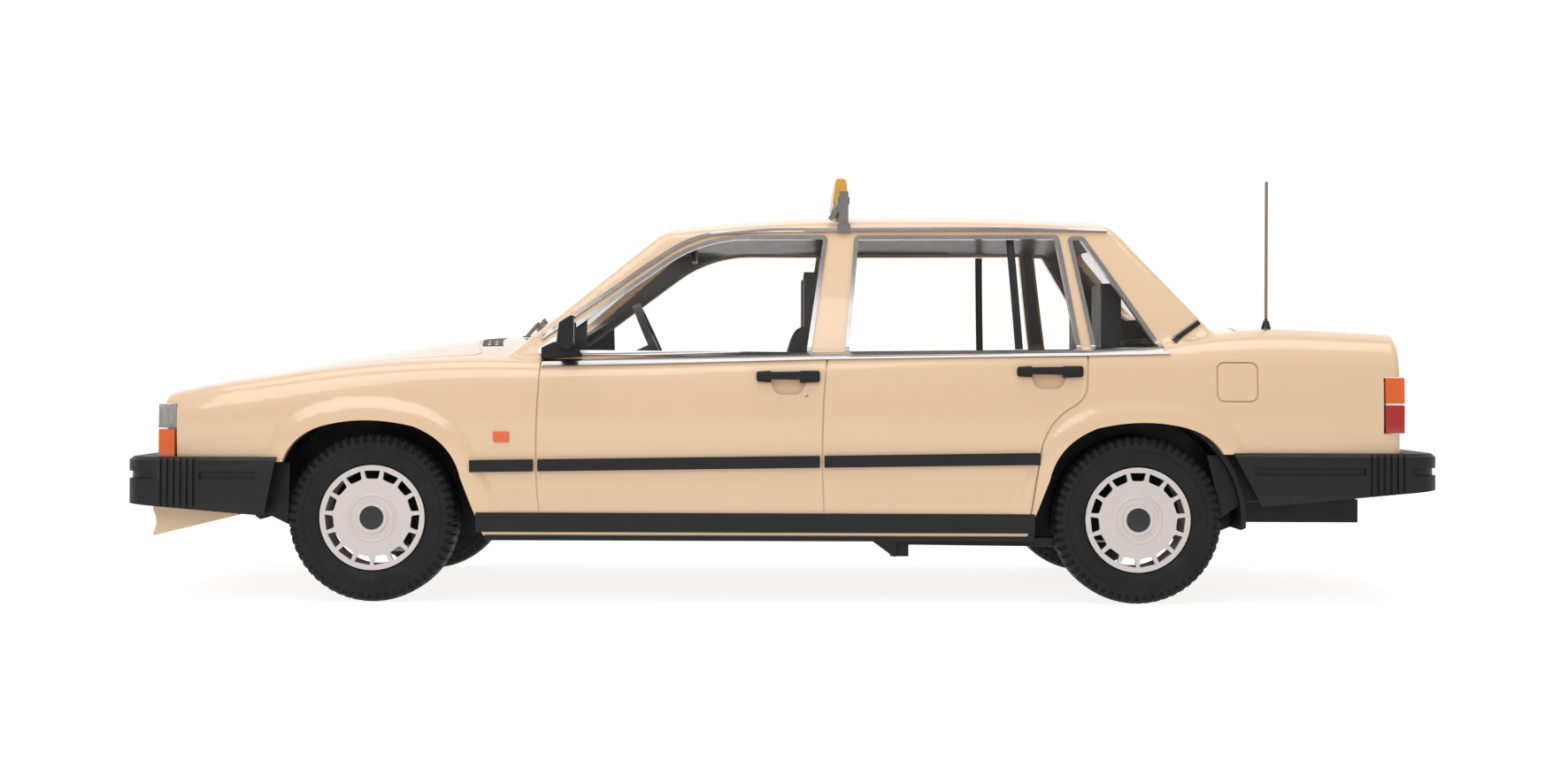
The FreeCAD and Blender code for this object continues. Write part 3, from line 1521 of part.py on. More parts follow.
def dashboard():
    """The instrument shelf across the cabin's front."""
    x0 = tub_front_x + tub_wall + fit_gap
    half = tub_half_width - tub_wall - fit_gap
    outline = rounded(side, (
        (x0, dash_low, 0), (x0 + dash_length * dash_foot_share, dash_low, dash_length / 6),
        (x0 + dash_length, dash_high - dash_length / 4, dash_length / 6),
        (x0 + dash_length * dash_top_share, dash_high, dash_length / 8), (x0, dash_high, 0)))
    return across(outline, half).common(interior())


def steering_wheel():
    """A thin-rimmed wheel with a wide hub pad on its column."""
    rim = Part.makeCylinder(wheel_rim_radius, 2 * wheel_rim_wire, Vector(0, 0, -wheel_rim_wire)).cut(
        Part.makeCylinder(wheel_rim_radius - 2 * wheel_rim_wire, 4 * wheel_rim_wire,
                          Vector(0, 0, -2 * wheel_rim_wire)))
    pad_half = wheel_rim_radius * wheel_pad_share / 2
    pad_reach = wheel_rim_radius - wheel_rim_wire / 2
    pad = box(-pad_reach, pad_reach, -pad_half, pad_half, -wheel_rim_wire, wheel_rim_wire / 2)
    column_length = wheel_rim_radius * wheel_column_share
    column = Part.makeCylinder(column_radius, column_length, Vector(0, 0, -column_length))
    shape = joined([rim, pad, column])
    shape.rotate(Vector(0, 0, 0), Vector(0, 0, 1), 90)
    shape.rotate(Vector(0, 0, 0), Vector(0, 1, 0), 90 - wheel_tilt)
    shape.translate(Vector(steering_x, -seat_y, steering_z))
    return shape.cut(dashboard())


def seat(x, y, width, height, headrest_z, headrests):
    """A cushion and a leaning back with headrests, as one moulding."""
    base = chassis_top + tub_wall + fit_gap
    top = cushion_low + cushion_height
    side_view = rounded(side, (
        (x, base, 0), (x + cushion_length, base, 0), (x + cushion_length, top, 0),
        (x, top, cushion_height / 3)))
    cushion = slab(side_view, Vector(0, y - width / 2, 0), Vector(0, width, 0))
    back_x = x + cushion_length - back_thickness / 2
    low = cushion_low + cushion_height / 2
    lean = back_lean * height / back_height
    outline = rounded(side, (
        (back_x, low, 0), (back_x + back_thickness, low, 0),
        (back_x + back_thickness + lean, low + height, back_thickness / 3),
        (back_x + lean, low + height, back_thickness / 3)))
    back = slab(outline, Vector(0, y - width / 2, 0), Vector(0, width, 0))
    pieces = [cushion, back]
    rest_x = back_x + lean + (back_thickness - headrest_length) / 2
    for rest_y in headrests:
        pieces.append(box(rest_x, rest_x + headrest_length, rest_y - headrest_width / 2,
                          rest_y + headrest_width / 2, low + height - fit_gap, headrest_z + headrest_height))
    return joined(pieces)


def front_seats():
    """Two single seats with headrests."""
    return both(seat(seat_front_x, seat_y, seat_width, back_height, headrest_low, (seat_y,)))


def rear_seat():
    """The bench with two headrests."""
    half = tub_half_width - tub_wall - fit_gap
    bench = seat(rear_seat_x, 0, 2 * half, rear_back_height, rear_headrest_low, (-seat_y, seat_y))
    bench = bench.cut(wells(well_wall + seat_gap)).common(interior())
    return max(bench.Solids, key=lambda solid: solid.Volume)


def head_lining():
    """The grey moulded lining of the roof and pillars."""
    gap = glass_sink + glass_wall + fit_gap
    skin = cabin_skin(body_wall + fit_gap, body_wall + fit_gap + lining_wall)
    low = shelf_z + shelf_plate + fit_gap
    skin = skin.common(box(-length, length, -body_half_width, body_half_width, low, roof_height))
    cutters = [side_opening(shares, frame_width - gap / 2) for shares in WINDOW_SHARES]
    lining = skin.cut(cutters + [screen_opening(-gap), backlight_opening(-gap)])
    return max(lining.Solids, key=lambda solid: solid.Volume)


def interior_mirror():
    """The small black mirror below the roof's front edge."""
    stem_top = roof_height * CABIN_SHARES[1][2] - body_wall - fit_gap - lining_wall
    glass_high = stem_top - inner_mirror_drop
    pane = box(inner_mirror_x, inner_mirror_x + inner_mirror_wall, -inner_mirror_half, inner_mirror_half,
               glass_high - inner_mirror_height, glass_high)
    stem = box(inner_mirror_x, inner_mirror_x + inner_mirror_wall, -inner_mirror_wall / 2,
               inner_mirror_wall / 2, glass_high - inner_mirror_wall, roof_height)
    lining = cabin(body_wall + 2 * fit_gap + lining_wall)
    return joined([pane, stem]).common(lining)


def parcel_shelf():
    """The shelf between the rear seat and the rear window."""
    inner = cabin(body_wall + fit_gap)
    front_x = rear_seat_x + cushion_length + back_thickness / 2
    front_x += back_lean * rear_back_height / back_height + seat_gap
    plate = box(front_x, rear_base_x, -body_half_width, body_half_width, shelf_z, shelf_z + shelf_plate)
    return plate.common(inner)


def build():
    """Every node by name."""
    nodes = {
        "body_shell": body_shell(),
        "roof_and_pillars": roof_and_pillars(),
        "windscreen": windscreen(),
        "rear_window": rear_window(),
        "side_windows": side_windows(),
        "window_frames": window_frames(),
        "drip_rails": drip_rails(),
        "rub_strips": side_strips(),
        "sill_covers": sill_covers(),
        "front_bumper": front_bumper(),
        "rear_bumper": rear_bumper(),
        "number_plates": number_plates(),
        "belt_strips": belt_strips(),
        "window_bars": window_bars(),
        "cowl_tray": cowl_tray(),
        "mirror_glasses": mirror_glasses(),
        "interior_mirror": interior_mirror(),
        "front_valance": front_valance(),
        "grille": grille(),
        "headlamp_reflectors": headlamp_reflectors(),
        "headlamp_lenses": headlamp_lenses(),
        "corner_lamps": corner_lamp(lamp_split + lamp_gap / 2, lamp_high - fit_gap),
        "front_indicators": corner_lamp(lamp_low + fit_gap, lamp_split - lamp_gap / 2),
        "tail_lamps_red": tail_lamps_red(),
        "tail_lamps_amber": tail_lamps_amber(),
        "tail_lamps_clear": tail_lamps_clear(),
        "side_repeaters": side_repeaters(),
        "door_handles": door_handles(),
        "door_mirrors": door_mirrors(),
        "roof_sign_frame": roof_sign_frame(),
        "roof_sign_lens": roof_sign_lens(),
        "aerial": aerial(),
        "wipers": wipers(),
        "chassis": chassis(),
        "exhaust": exhaust(),
        "front_subframe": front_subframe(),
        "knuckle_left": knuckle(-1),
        "knuckle_right": knuckle(1),
        "tie_rod": tie_rod(),
        "rear_axle": rear_axle(),
        "interior_tub": interior_tub(),
        "dashboard": dashboard(),
        "steering_wheel": steering_wheel(),
        "front_seats": front_seats(),
        "rear_seat": rear_seat(),
        "head_lining": head_lining(),
        "parcel_shelf": parcel_shelf(),
    }
    one_tyre = tyre()
    one_wheel = wheel()
    for axle_name, axle_x in AXLES:
        for side_name, sign in SIDES:
            nodes[f"tyre_{axle_name}_{side_name}"] = placed(one_tyre, axle_x, sign)
            nodes[f"wheel_{axle_name}_{side_name}"] = placed(one_wheel, axle_x, sign)
    return nodes


def main():
    """Write one STEP file for each node."""
    os.makedirs("parts", exist_ok=True)
    for name, shape in build().items():
        shape.exportStep(os.path.join("parts", name + ".step"))


if __name__ == "__main__":
    main()
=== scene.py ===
"""Looks of a 1:18 die-cast taxi saloon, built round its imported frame.

Lengths in this file are millimetres, and one scale turns them to Blender's metres.
+X is the car's rear, -Y its left side, +Z up, and the floor is at zero.
"""
import json
import math

import bmesh
import bpy
import numpy as np
from bpy.props import FloatProperty, FloatVectorProperty, IntProperty, PointerProperty
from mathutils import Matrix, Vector


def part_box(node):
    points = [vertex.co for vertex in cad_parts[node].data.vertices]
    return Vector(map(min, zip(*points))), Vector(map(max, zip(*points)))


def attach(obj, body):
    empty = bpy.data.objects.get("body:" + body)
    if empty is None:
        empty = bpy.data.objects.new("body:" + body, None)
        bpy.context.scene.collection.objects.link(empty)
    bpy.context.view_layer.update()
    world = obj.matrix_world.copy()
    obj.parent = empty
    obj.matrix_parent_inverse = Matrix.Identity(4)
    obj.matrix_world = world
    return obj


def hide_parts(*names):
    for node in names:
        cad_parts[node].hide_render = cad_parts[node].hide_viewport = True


bl_info = {
    "name": "Taxi saloon model",
    "version": (1, 0, 0),
    "blender": (4, 5, 0),
    "location": "3D View > Sidebar > Taxi",
    "description": "Builds the finished surfaces of a scale model taxi round its fixed frame",
    "category": "Object",
}

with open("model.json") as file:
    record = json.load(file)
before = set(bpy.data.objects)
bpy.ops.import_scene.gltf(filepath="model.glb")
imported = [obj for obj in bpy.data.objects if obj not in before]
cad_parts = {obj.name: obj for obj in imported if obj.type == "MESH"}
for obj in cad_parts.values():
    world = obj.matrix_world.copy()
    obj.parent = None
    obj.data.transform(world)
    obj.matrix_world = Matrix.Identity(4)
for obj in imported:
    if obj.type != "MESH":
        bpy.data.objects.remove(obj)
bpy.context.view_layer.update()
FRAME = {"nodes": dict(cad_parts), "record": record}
NODES = FRAME["nodes"]
MM = 0.001
WHEELS = ("front_left", "front_right", "rear_left", "rear_right")


def node_box(name):
    """Lowest and highest corner of a frame node, in millimetres."""
    low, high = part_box(name)
    return np.array(low) / MM, np.array(high) / MM


SHELL_LOW, SHELL_HIGH = node_box("body_shell")
TYRE_LOW, TYRE_HIGH = node_box("tyre_front_left")
REAR_TYRE_LOW, REAR_TYRE_HIGH = node_box("tyre_rear_left")
NOSE_X, TAIL_X = SHELL_LOW[0], SHELL_HIGH[0]
FRONT_AXLE_X = (TYRE_LOW[0] + TYRE_HIGH[0]) / 2
REAR_AXLE_X = (REAR_TYRE_LOW[0] + REAR_TYRE_HIGH[0]) / 2
AXLE_Z = (TYRE_LOW[2] + TYRE_HIGH[2]) / 2

# Body sizes, as on the frame
HALF_WIDTH = 47.6
BELT = 50.0
BELLY = 33.0
SILL_TUCK = 1.6
CREASE_TUCK = 0.5
SHOULDER_BULGE = 0.17
BODY_BOTTOM = SHELL_LOW[2]
CABIN_HALF = 43.7
RAIL_HALF = 34.2
ROOF = 80.5
RAIL_DROP = 5.0
ROOF_DROP = 2.7
ROOF_CORNER = 2.6
PILLAR_BULGE = 0.7
CABIN_ROOT = 4.0
SCREEN_X = -54.5
SCREEN_RAKE = 38.3
SCREEN_BOW = 4.5
BACKLIGHT_X = 90.9
BACKLIGHT_RAKE = 45.4
BACKLIGHT_BOW = 6.5
CABIN_LENGTH = BACKLIGHT_X - SCREEN_X
WINDOW_HEIGHT = 24.7
ARCH = 19.6
CENTRE_Z = 30.0
NOSE_BOW = 2.0
TAIL_BOW = 0.9
BOW_REACH = 30.0

# Joins of the cabin's faces and of cabin and body, round of both ends, and gap between rows along the body
CABIN_FILLET = 1.3
WAIST_FILLET = 0.9
END_ROUND = 1.6
ROW_GAP = 0.75

# Arch flare: width and ramp of its band, strength at its far side and what the near side adds, and its ends
FLARE_BAND = 4.2
FLARE_RAMP = 1.1
FLARE_SHARES = (0.55, 0.45)
FLARE_FOOT = 16.5
FLARE_FADE = 3.0
FLARE_TOP = 44.0
FLARE_INNER = 40.0

# Reach of the cutters from the car's middle, past both sides
ACROSS = 60.0

# Windscreen and rear window: foot along the car, bow, rake in degrees, and the way that it leans
SCREENS = ((SCREEN_X, SCREEN_BOW, SCREEN_RAKE, 1), (BACKLIGHT_X, BACKLIGHT_BOW, BACKLIGHT_RAKE, -1))

# Rough half section, and the gap between the surface's points along each of its sides
SECTION_GUIDE = (
    (0.0, 13.5), (45.0, 13.5), (46.0, 14.5), (47.6, 33.0), (47.1, 46.5), (46.4, 48.6), (44.2, 50.2),
    (42.6, 52.6), (34.4, 75.0), (33.0, 77.0), (31.0, 78.2), (0.0, 80.5),
)
SECTION_GAPS = (3.0, 1.2, 1.2, 1.0, 0.6, 0.4, 0.4, 1.6, 0.5, 0.5, 2.4)

# Along the body, half width, crease height, lid edge inset, lid edge height, crown height, as shares
STATIONS = np.array((
    (0.000, 0.941, 0.772, 0.063, 0.828, 0.856),
    (0.030, 0.964, 0.800, 0.067, 0.860, 0.894),
    (0.081, 0.979, 0.836, 0.071, 0.898, 0.940),
    (0.169, 0.994, 0.892, 0.080, 0.958, 1.018),
    (0.256, 1.000, 0.924, 0.084, 0.982, 1.076),
    (0.312, 1.000, 0.926, 0.080, 0.978, 1.080),
    (0.540, 1.000, 0.952, 0.076, 1.008, 1.064),
    (0.733, 1.000, 0.966, 0.076, 1.022, 1.070),
    (0.797, 0.998, 0.964, 0.088, 1.038, 1.084),
    (0.840, 0.994, 0.957, 0.118, 1.078, 1.112),
    (0.884, 0.987, 0.950, 0.139, 1.104, 1.132),
    (0.948, 0.977, 0.946, 0.139, 1.100, 1.126),
    (1.000, 0.958, 0.940, 0.130, 1.086, 1.108),
))

# Along the cabin, width and roof height, as shares
CABIN = np.array((
    (-0.060, 0.980, 0.925),
    (0.205, 0.992, 0.968),
    (0.375, 1.000, 0.993),
    (0.615, 1.000, 1.000),
    (0.840, 0.988, 0.987),
    (1.040, 0.975, 0.962),
))

# Window corners: along the cabin, up the window, corner radius, as shares
FRONT_WINDOW = ((0.0241, 0.000, 0.03), (0.2586, 1.000, 1.20), (0.4388, 1.000, 0.04), (0.4129, -0.014, 0.04))
REAR_WINDOW = ((0.4600, -0.008, 0.04), (0.4759, 1.000, 0.04), (0.7648, 1.010, 0.04), (0.7904, 0.016, 0.04))
QUARTER_WINDOW = ((0.8044, 0.032, 0.04), (0.7765, 1.000, 0.04), (0.7999, 1.000, 0.06), (0.9072, 0.032, 0.04))
SIDE_WINDOWS = (FRONT_WINDOW, REAR_WINDOW, QUARTER_WINDOW)

# Door edges: along the body and up to the belt, as shares
DOOR_LINES = (
    ((0.3103, 1.00), (0.3063, 0.60), (0.3107, 0.30)),
    ((0.5383, 1.00), (0.5344, 0.67), (0.5367, 0.30)),
    ((0.7457, 1.00), (0.7449, 0.89), (0.7418, 0.832), (0.7326, 0.792), (0.7159, 0.714), (0.7076, 0.600),
     (0.6984, 0.30)),
)

# Wheel arch opening from the cabin side over the top to the bumper side, as shares, and its cutter's foot
ARCH_OUTLINE = (
    (1.17, -0.25), (0.92, 0.41), (0.76, 0.73), (0.44, 0.94), (0.0, 1.0),
    (-0.42, 0.96), (-0.72, 0.83), (-0.90, 0.59), (-1.05, 0.0), (-1.14, -0.6),
)
ARCH_FOOT = 5.0

# Openings at the screens, seen from the end: lower half width and height, upper half width and height
SCREEN_OPENING = (38.6, 55.0, 31.2, 74.6)
REAR_OPENING = (37.0, 59.0, 30.8, 74.6)
LINING_SCREEN_OPENING = (37.6, 55.2, 30.2, 74.4)
LINING_REAR_OPENING = (36.2, 59.2, 30.2, 74.4)
OPENING_CORNER = 3.0
SCREEN_ZONE = (-70, 0)
REAR_ZONE = (50, 110)

# Lamp recesses in the casting: depth along the car, then lowest and highest edge
FRONT_LAMP_RECESS = (4.7, 28.6, 39.8)
REAR_LAMP_RECESS = (4.5, 34.5, 45.9)
REAR_LAMP_INNER = 24.0

# How far the cutters reach past nose and tail, and how far in from each at the aprons
CUT_PAST = 5.0
APRON_REACHES = (27.0, 38.0)

# Lids: rear edge of the bonnet and front edge of the boot lid, half width, bow, and lowest height of the cut
BONNET_LINE = (-61.5, 40.6, 3.5, 40.2)
BOOT_LINE = (92.6, 39.2, 3.0, 46.0)
LID_CORNER = 3.0
BOOT_FACE_LINE = ((-23.7, 46.2), (-23.7, 31.0), (23.7, 31.0), (23.7, 46.2))
BOOT_FACE_DEPTH = 4.0
LID_PAST = 3.0
LID_TOP = 90.0

# Fuel flap: middle, half its length and height, corner radius, and the cut's end from the car's middle
FLAP_MIDDLE = (91.0, 44.8)
FLAP_HALVES = (4.25, 4.05)
FLAP_CORNER = 1.6
FLAP_INNER = 20.0

# How far inside the frames' outer edge the outline of each layer at a window lies
OPENING_INSET, PANE_INSET, CORNER_INSET, LINING_INSET = 0.9, 0.8, 0.75, 0.2

# Depths of the layers below the body's surface, outer and inner (less than zero stands above it)
FRAME_LAYER = (-0.35, 0.2)
PANE_LAYER = (0.3, 1.2)
CORNER_LAYER = (0.0, 1.2)
LINING_LAYER = (1.62, 2.5)
COWL_LAYER = (-0.06, 0.6)
LINING_ZONE = ((-60, -60, 53.8), (95, 60, 90))
LOUVRE_DEPTH = 0.35

# Strips on the body: how deep they sit in it, and how far the seal and its bead stand out
TRIM_SEAT = 0.15
SEAL_STAND = 0.22
BEAD_STAND = 0.28

# Point spacing of the lining and scoops, and of the casting's inside, as multiples of the body's own
COARSE_STEP = 1.5
WALL_STEP = 2.0

# Scoops behind the door handles: middle, then outline round it with corner radii
SCOOPS = ((0.9, 43.6), (53.0, 44.9))
SCOOP_OUTLINE = ((-3.6, 1.5, 0.3), (-2.4, -1.6, 1.9), (2.8, -1.6, 1.9), (4.0, 1.5, 0.3))
SCOOP_DEPTH = 0.95

# Drip rail from the windscreen's foot along the roof, in millimetres along the car and up
RAIL_LINE = (
    (-48.8, 53.4), (-42.5, 57.9), (-34.3, 63.6), (-25.8, 69.7), (-20.7, 72.9), (-15.5, 74.8), (-8.2, 75.5),
    (10.0, 75.8), (40.0, 76.1), (66.8, 76.1),
)

# Seal strip and its bright bead at the rear pillar's foot
SEAL_LINE = ((79.0, 53.1), (84.6, 57.0))
BEAD_LINE = ((78.75, 53.6), (84.25, 57.4))

# Door handles: both ends along the car, then lowest and highest edge
HANDLES = ((-5.3, 7.4, 44.3, 46.8), (46.8, 60.0, 45.5, 47.9))

# Lever, front end and rear end of a handle: inner and outer distance from the car's middle
HANDLE_DEPTHS = ((47.4, 48.7), (46.6, 48.3), (46.6, 48.4))

# Lock plates below the front handles: middle and radius
LOCK_PLACE = (4.7, 47.25, 41.7)
LOCK_RADIUS = 0.55

# Black panels behind and between the wheels: side outline, inner and outer distance from the car's middle
SPLASH_PANELS = (
    (((85.6, 30.1), (98.0, 30.1), (99.0, 21.0), (93.5, 20.5), (88.6, 17.5)), 42.0, 43.0),
    (((-99.4, 28.0), (-108.0, 28.0), (-106.0, 18.5), (-99.6, 15.4)), 42.0, 43.0),
    (((23.0, 13.2), (23.0, 11.6), (56.0, 11.3), (57.5, 13.2)), 38.0, 41.0),
    (((17.6, 12.9), (22.4, 9.4), (23.0, 9.4), (23.0, 12.9)), 43.6, 44.6),
)

# Door mirrors: side outline of each part, inner and outer distance from the car's middle
MIRROR_PARTS = (
    (((-48.6, 48.9), (-40.2, 49.5), (-41.2, 51.1), (-44.4, 51.6), (-45.9, 52.5), (-48.5, 51.3)), 43.4, 46.0),
    (((-44.9, 51.2), (-42.3, 51.2), (-42.3, 53.4), (-44.6, 53.4)), 44.5, 47.6),
    (((-44.9, 52.3), (-43.0, 50.9), (-41.5, 51.6), (-41.5, 57.4), (-42.0, 57.7), (-44.4, 56.2)), 46.4, 52.4),
)
MIRROR_PANE = (((-41.52, 52.1), (-41.38, 52.1), (-41.38, 57.0), (-41.52, 57.0)), 46.9, 51.9)

# Box round the window corners that carry the mirrors
MIRROR_CORNER = ((-70, -60, 45), (-39.8, 60, 80))

# Cowl between bonnet and windscreen: half width, front and rear edge with their bows, and its louvres
COWL_HALF = 29.0
COWL_FRONT = (-61.0, 3.5, 37.6)
COWL_REAR = (-55.6, 4.5, 43.7)
LOUVRE_FRONT = (-59.4, 4.0, 40.0)
LOUVRE_REACH = 26.0
LOUVRE_COUNT = 13
LOUVRE_HALF = 1.5
LOUVRE_WIDTH = 0.7
LOUVRE_ROWS = (0.0, 1.5)
COWL_ZONE = (45, 60)

# Cover slots: outline with corner radii (across, from the hub), how many, how deep, and the cut's overrun
SLOT_OUTLINE = ((-1.2, 7.8, 0.45), (1.2, 7.8, 0.45), (1.62, 9.45, 0.3), (-1.62, 9.45, 0.3))
SLOT_COUNT = 15
SLOT_DEPTH = 1.45
SLOT_PAST = 0.5

# Wheels: round of the covers' edges, how far the ring is sunk in, and the radius left at a disc's middle
WHEEL_ROUND = 0.1
RING_SEAT = 0.1
DISC_MIDDLE = 0.02

# Tyre: gap between its points, and height of the fine rings on its walls
TYRE_STEP = 0.17
WALL_RING = 0.12

# Tread: depth of its edge, ramp of its grooves, and their places as shares of the half width
TREAD_EDGE = 0.35
TREAD_RAMP = 0.2
TREAD_GROOVES = (-0.36, 0.0, 0.36)

# Shoulder blocks: start as a share of the half width, drop below the tread, and ramp
SHOULDER_SHARE = 0.52
SHOULDER_DROP = 1.9
SHOULDER_RAMP = 0.3

# Floor, studio lamps (name, place, aim, size, power) and strength of the world's light, in metres and watts
FLOOR_NEAR, FLOOR_FAR, FLOOR_BEND, FLOOR_TOP, FLOOR_HALF = -3.0, 1.2, 0.4, 2.5, 4.0
STUDIO_LAMPS = (
    ("top_box", (0.0, -0.15, 0.75), (0, 0, 0), (0.9, 0.5), 4.0),
    ("front_box", (-0.25, -0.9, 0.55), (0, 0, 0.03), (0.7, 0.5), 4.0),
)
WORLD_LEVEL = 0.75

# Camera: shift of the picture as a share of its width, and nearest and farthest reach in metres
VIEW_SHIFT = (0.0090, -0.0073)
VIEW_REACH = (0.01, 20.0)


def linear(hex_colour):
    """Linear RGBA of an sRGB hex colour."""
    raw = [int(hex_colour[i:i + 2], 16) / 255 for i in (1, 3, 5)]
    return tuple(c / 12.92 if c <= 0.04045 else ((c + 0.055) / 1.055) ** 2.4 for c in raw) + (1.0,)


def add(tree, kind, inputs=None, **settings):
    """Adds a node, sets its properties, and fills or links its inputs."""
    node = tree.nodes.new(kind)
    for key, value in settings.items():
        setattr(node, key, value)
    for key, value in (inputs or {}).items():
        if isinstance(value, bpy.types.NodeSocket):
            tree.links.new(value, node.inputs[key])
        else:
            node.inputs[key].default_value = value
    return node


def new_material(name):
    """An empty material with its principled shader and output; returns material, tree and shader."""
    material = bpy.data.materials.new(name)
    material.use_nodes = True
    tree = material.node_tree
    tree.nodes.clear()
    shader = add(tree, "ShaderNodeBsdfPrincipled")
    add(tree, "ShaderNodeOutputMaterial", {"Surface": shader.outputs[0]})
    return material, tree, shader


def place_of(tree):
    """Object coordinates in millimetres."""
    coords = add(tree, "ShaderNodeTexCoord")
    scaled = add(tree, "ShaderNodeVectorMath", {0: coords.outputs["Object"]}, operation="SCALE")
    scaled.inputs["Scale"].default_value = 1 / MM
    return scaled.outputs[0]


def smooth_rows(table, at):
    """Rows of a table read at new places: cubic Hermite pieces whose slopes are those of the neighbours."""
    place, values = table[:, 0], table[:, 1:]
    slope = np.gradient(values, place, axis=0)
    index = np.clip(np.searchsorted(place, at) - 1, 0, len(place) - 2)
    span = (place[index + 1] - place[index])[:, None]
    t = ((at - place[index]) / span[:, 0])[:, None]
    a, b = values[index], values[index + 1]
    ta, tb = slope[index] * span, slope[index + 1] * span
    return ((2 * t ** 3 - 3 * t ** 2 + 1) * a + (t ** 3 - 2 * t ** 2 + t) * ta
            + (-2 * t ** 3 + 3 * t ** 2) * b + (t ** 3 - t ** 2) * tb)


def through(a, b, c, t):
    """Parabola through three points, b at the middle; the points are (n, 2) and t is (m,)."""
    control = 2 * b - (a + c) / 2
    t = t[None, :, None]
    return (1 - t) ** 2 * a[:, None] + 2 * t * (1 - t) * control[:, None] + t ** 2 * c[:, None]


def pairs(*columns):
    """Columns stacked as 2-D points."""
    columns = np.broadcast_arrays(*columns)
    return np.stack(columns, axis=-1).astype(float)


def radius_at(points, angles):
    """Distance from the section's centre to its outline at each angle, row by row."""
    y, z = points[..., 0], points[..., 1] - CENTRE_Z
    turn, reach = np.arctan2(z, y), np.hypot(y, z)
    return np.array([np.interp(angles, turn[i], reach[i]) for i in range(len(points))])


def soft_min(a, b, k):
    """The lesser of two fields, with a fillet where they come within k of each other."""
    h = np.clip(0.5 + (b - a) / (2 * k), 0, 1)
    return b * (1 - h) + a * h - k * h * (1 - h)


def soft_max(a, b, k):
    """The greater of two fields, with a fillet."""
    return -soft_min(-a, -b, k)


def lower_radius(x, angles, inset, bottom):
    """Radius of the lower body's half section, from the sill up over the shoulder to the crown."""
    share = (x - NOSE_X) / (TAIL_X - NOSE_X)
    width, crease, edge, lid, crown = smooth_rows(STATIONS, np.clip(share, 0, 1)).T
    half = HALF_WIDTH * width - inset
    t = np.linspace(0, 1, 24)
    sill = pairs(half - SILL_TUCK, bottom + 0 * half)
    belly = pairs(half, BELLY)
    fold = pairs(half - CREASE_TUCK, BELT * crease - inset / 2)
    lid_edge = pairs(half - HALF_WIDTH * edge, BELT * lid - inset)
    chord = lid_edge - fold
    shoulder = (lid_edge + fold) / 2 + SHOULDER_BULGE * pairs(chord[:, 1], -chord[:, 0])
    top = pairs(0 * half, BELT * crown - inset)
    top_side = pairs(-lid_edge[:, 0], lid_edge[:, 1])
    over = through(lid_edge, top, top_side, t / 2)
    side = through(sill, belly, fold, t)
    line = np.concatenate([side, through(fold, shoulder, lid_edge, t[1:]), over[:, 1:]], 1)
    reach = radius_at(line, angles)
    floor = np.where(angles < 0, (bottom - CENTRE_Z) / np.minimum(np.sin(angles), -1e-6), 1e6)
    return np.minimum(reach, np.where(floor[None] > 0, floor[None], 1e6))


def cabin_radius(x, angles, inset):
    """Radius of the cabin's half section: side and roof outline, cut by the two raked, bowed screens."""
    share = np.clip((x - SCREEN_X) / CABIN_LENGTH, CABIN[0, 0], CABIN[-1, 0])
    width, roof = smooth_rows(CABIN, share).T
    top = ROOF * roof - inset
    foot = pairs(CABIN_HALF * width - inset + PILLAR_BULGE, BELT - CABIN_ROOT)
    rail = pairs(RAIL_HALF * width - inset, top - RAIL_DROP)
    edge = pairs(rail[:, 0] - ROOF_CORNER, top - ROOF_DROP)
    corner = pairs(rail[:, 0] - ROOF_CORNER / 3, (rail[:, 1] + edge[:, 1]) / 2 + ROOF_CORNER / 6)
    swell = (foot + rail) / 2 + np.array((PILLAR_BULGE, 0))
    middle = pairs(0 * top, top)
    t = np.linspace(0, 1, 24)
    line = np.concatenate([
        through(foot, swell, rail, t), through(rail, corner, edge, t[1:]),
        through(edge, middle, edge * np.array((-1, 1)), t[1:] / 2)], 1)
    foot_turn = np.arctan2(foot[:, 1] - CENTRE_Z, foot[:, 0])
    reach = np.where(angles[None] < foot_turn[:, None], 0, radius_at(line, angles))
    across = np.linspace(ACROSS, 0, 61)
    for base, bow, rake, sign in SCREENS:
        turn = math.radians(rake)
        depth = sign * (x - base)[:, None] * math.sin(turn) - inset
        depth = depth + bow * math.sin(turn) * (1 - (across[None] / CABIN_HALF) ** 2)
        height = BELT + depth / math.cos(turn)
        lowest = CENTRE_Z + 2 + 0.01 * (ACROSS - across[None])
        pane = pairs(across[None] + 0 * height, np.maximum(height, lowest))
        reach = soft_min(reach, radius_at(pane, angles), CABIN_FILLET)
    return reach


def section_angles(step):
    """Angles round half a section, closer together at the shoulder and at the roof's edge."""
    outline = np.array(SECTION_GUIDE)
    turns = []
    for a, b, gap in zip(outline, outline[1:], SECTION_GAPS):
        count = max(2, int(math.hypot(*(b - a)) / (gap * step)) + 1)
        points = a + (b - a) * np.linspace(0, 1, count, endpoint=False)[:, None]
        turns.append(np.arctan2(points[:, 1] - CENTRE_Z, points[:, 0]))
    return np.append(np.concatenate(turns), math.pi / 2)


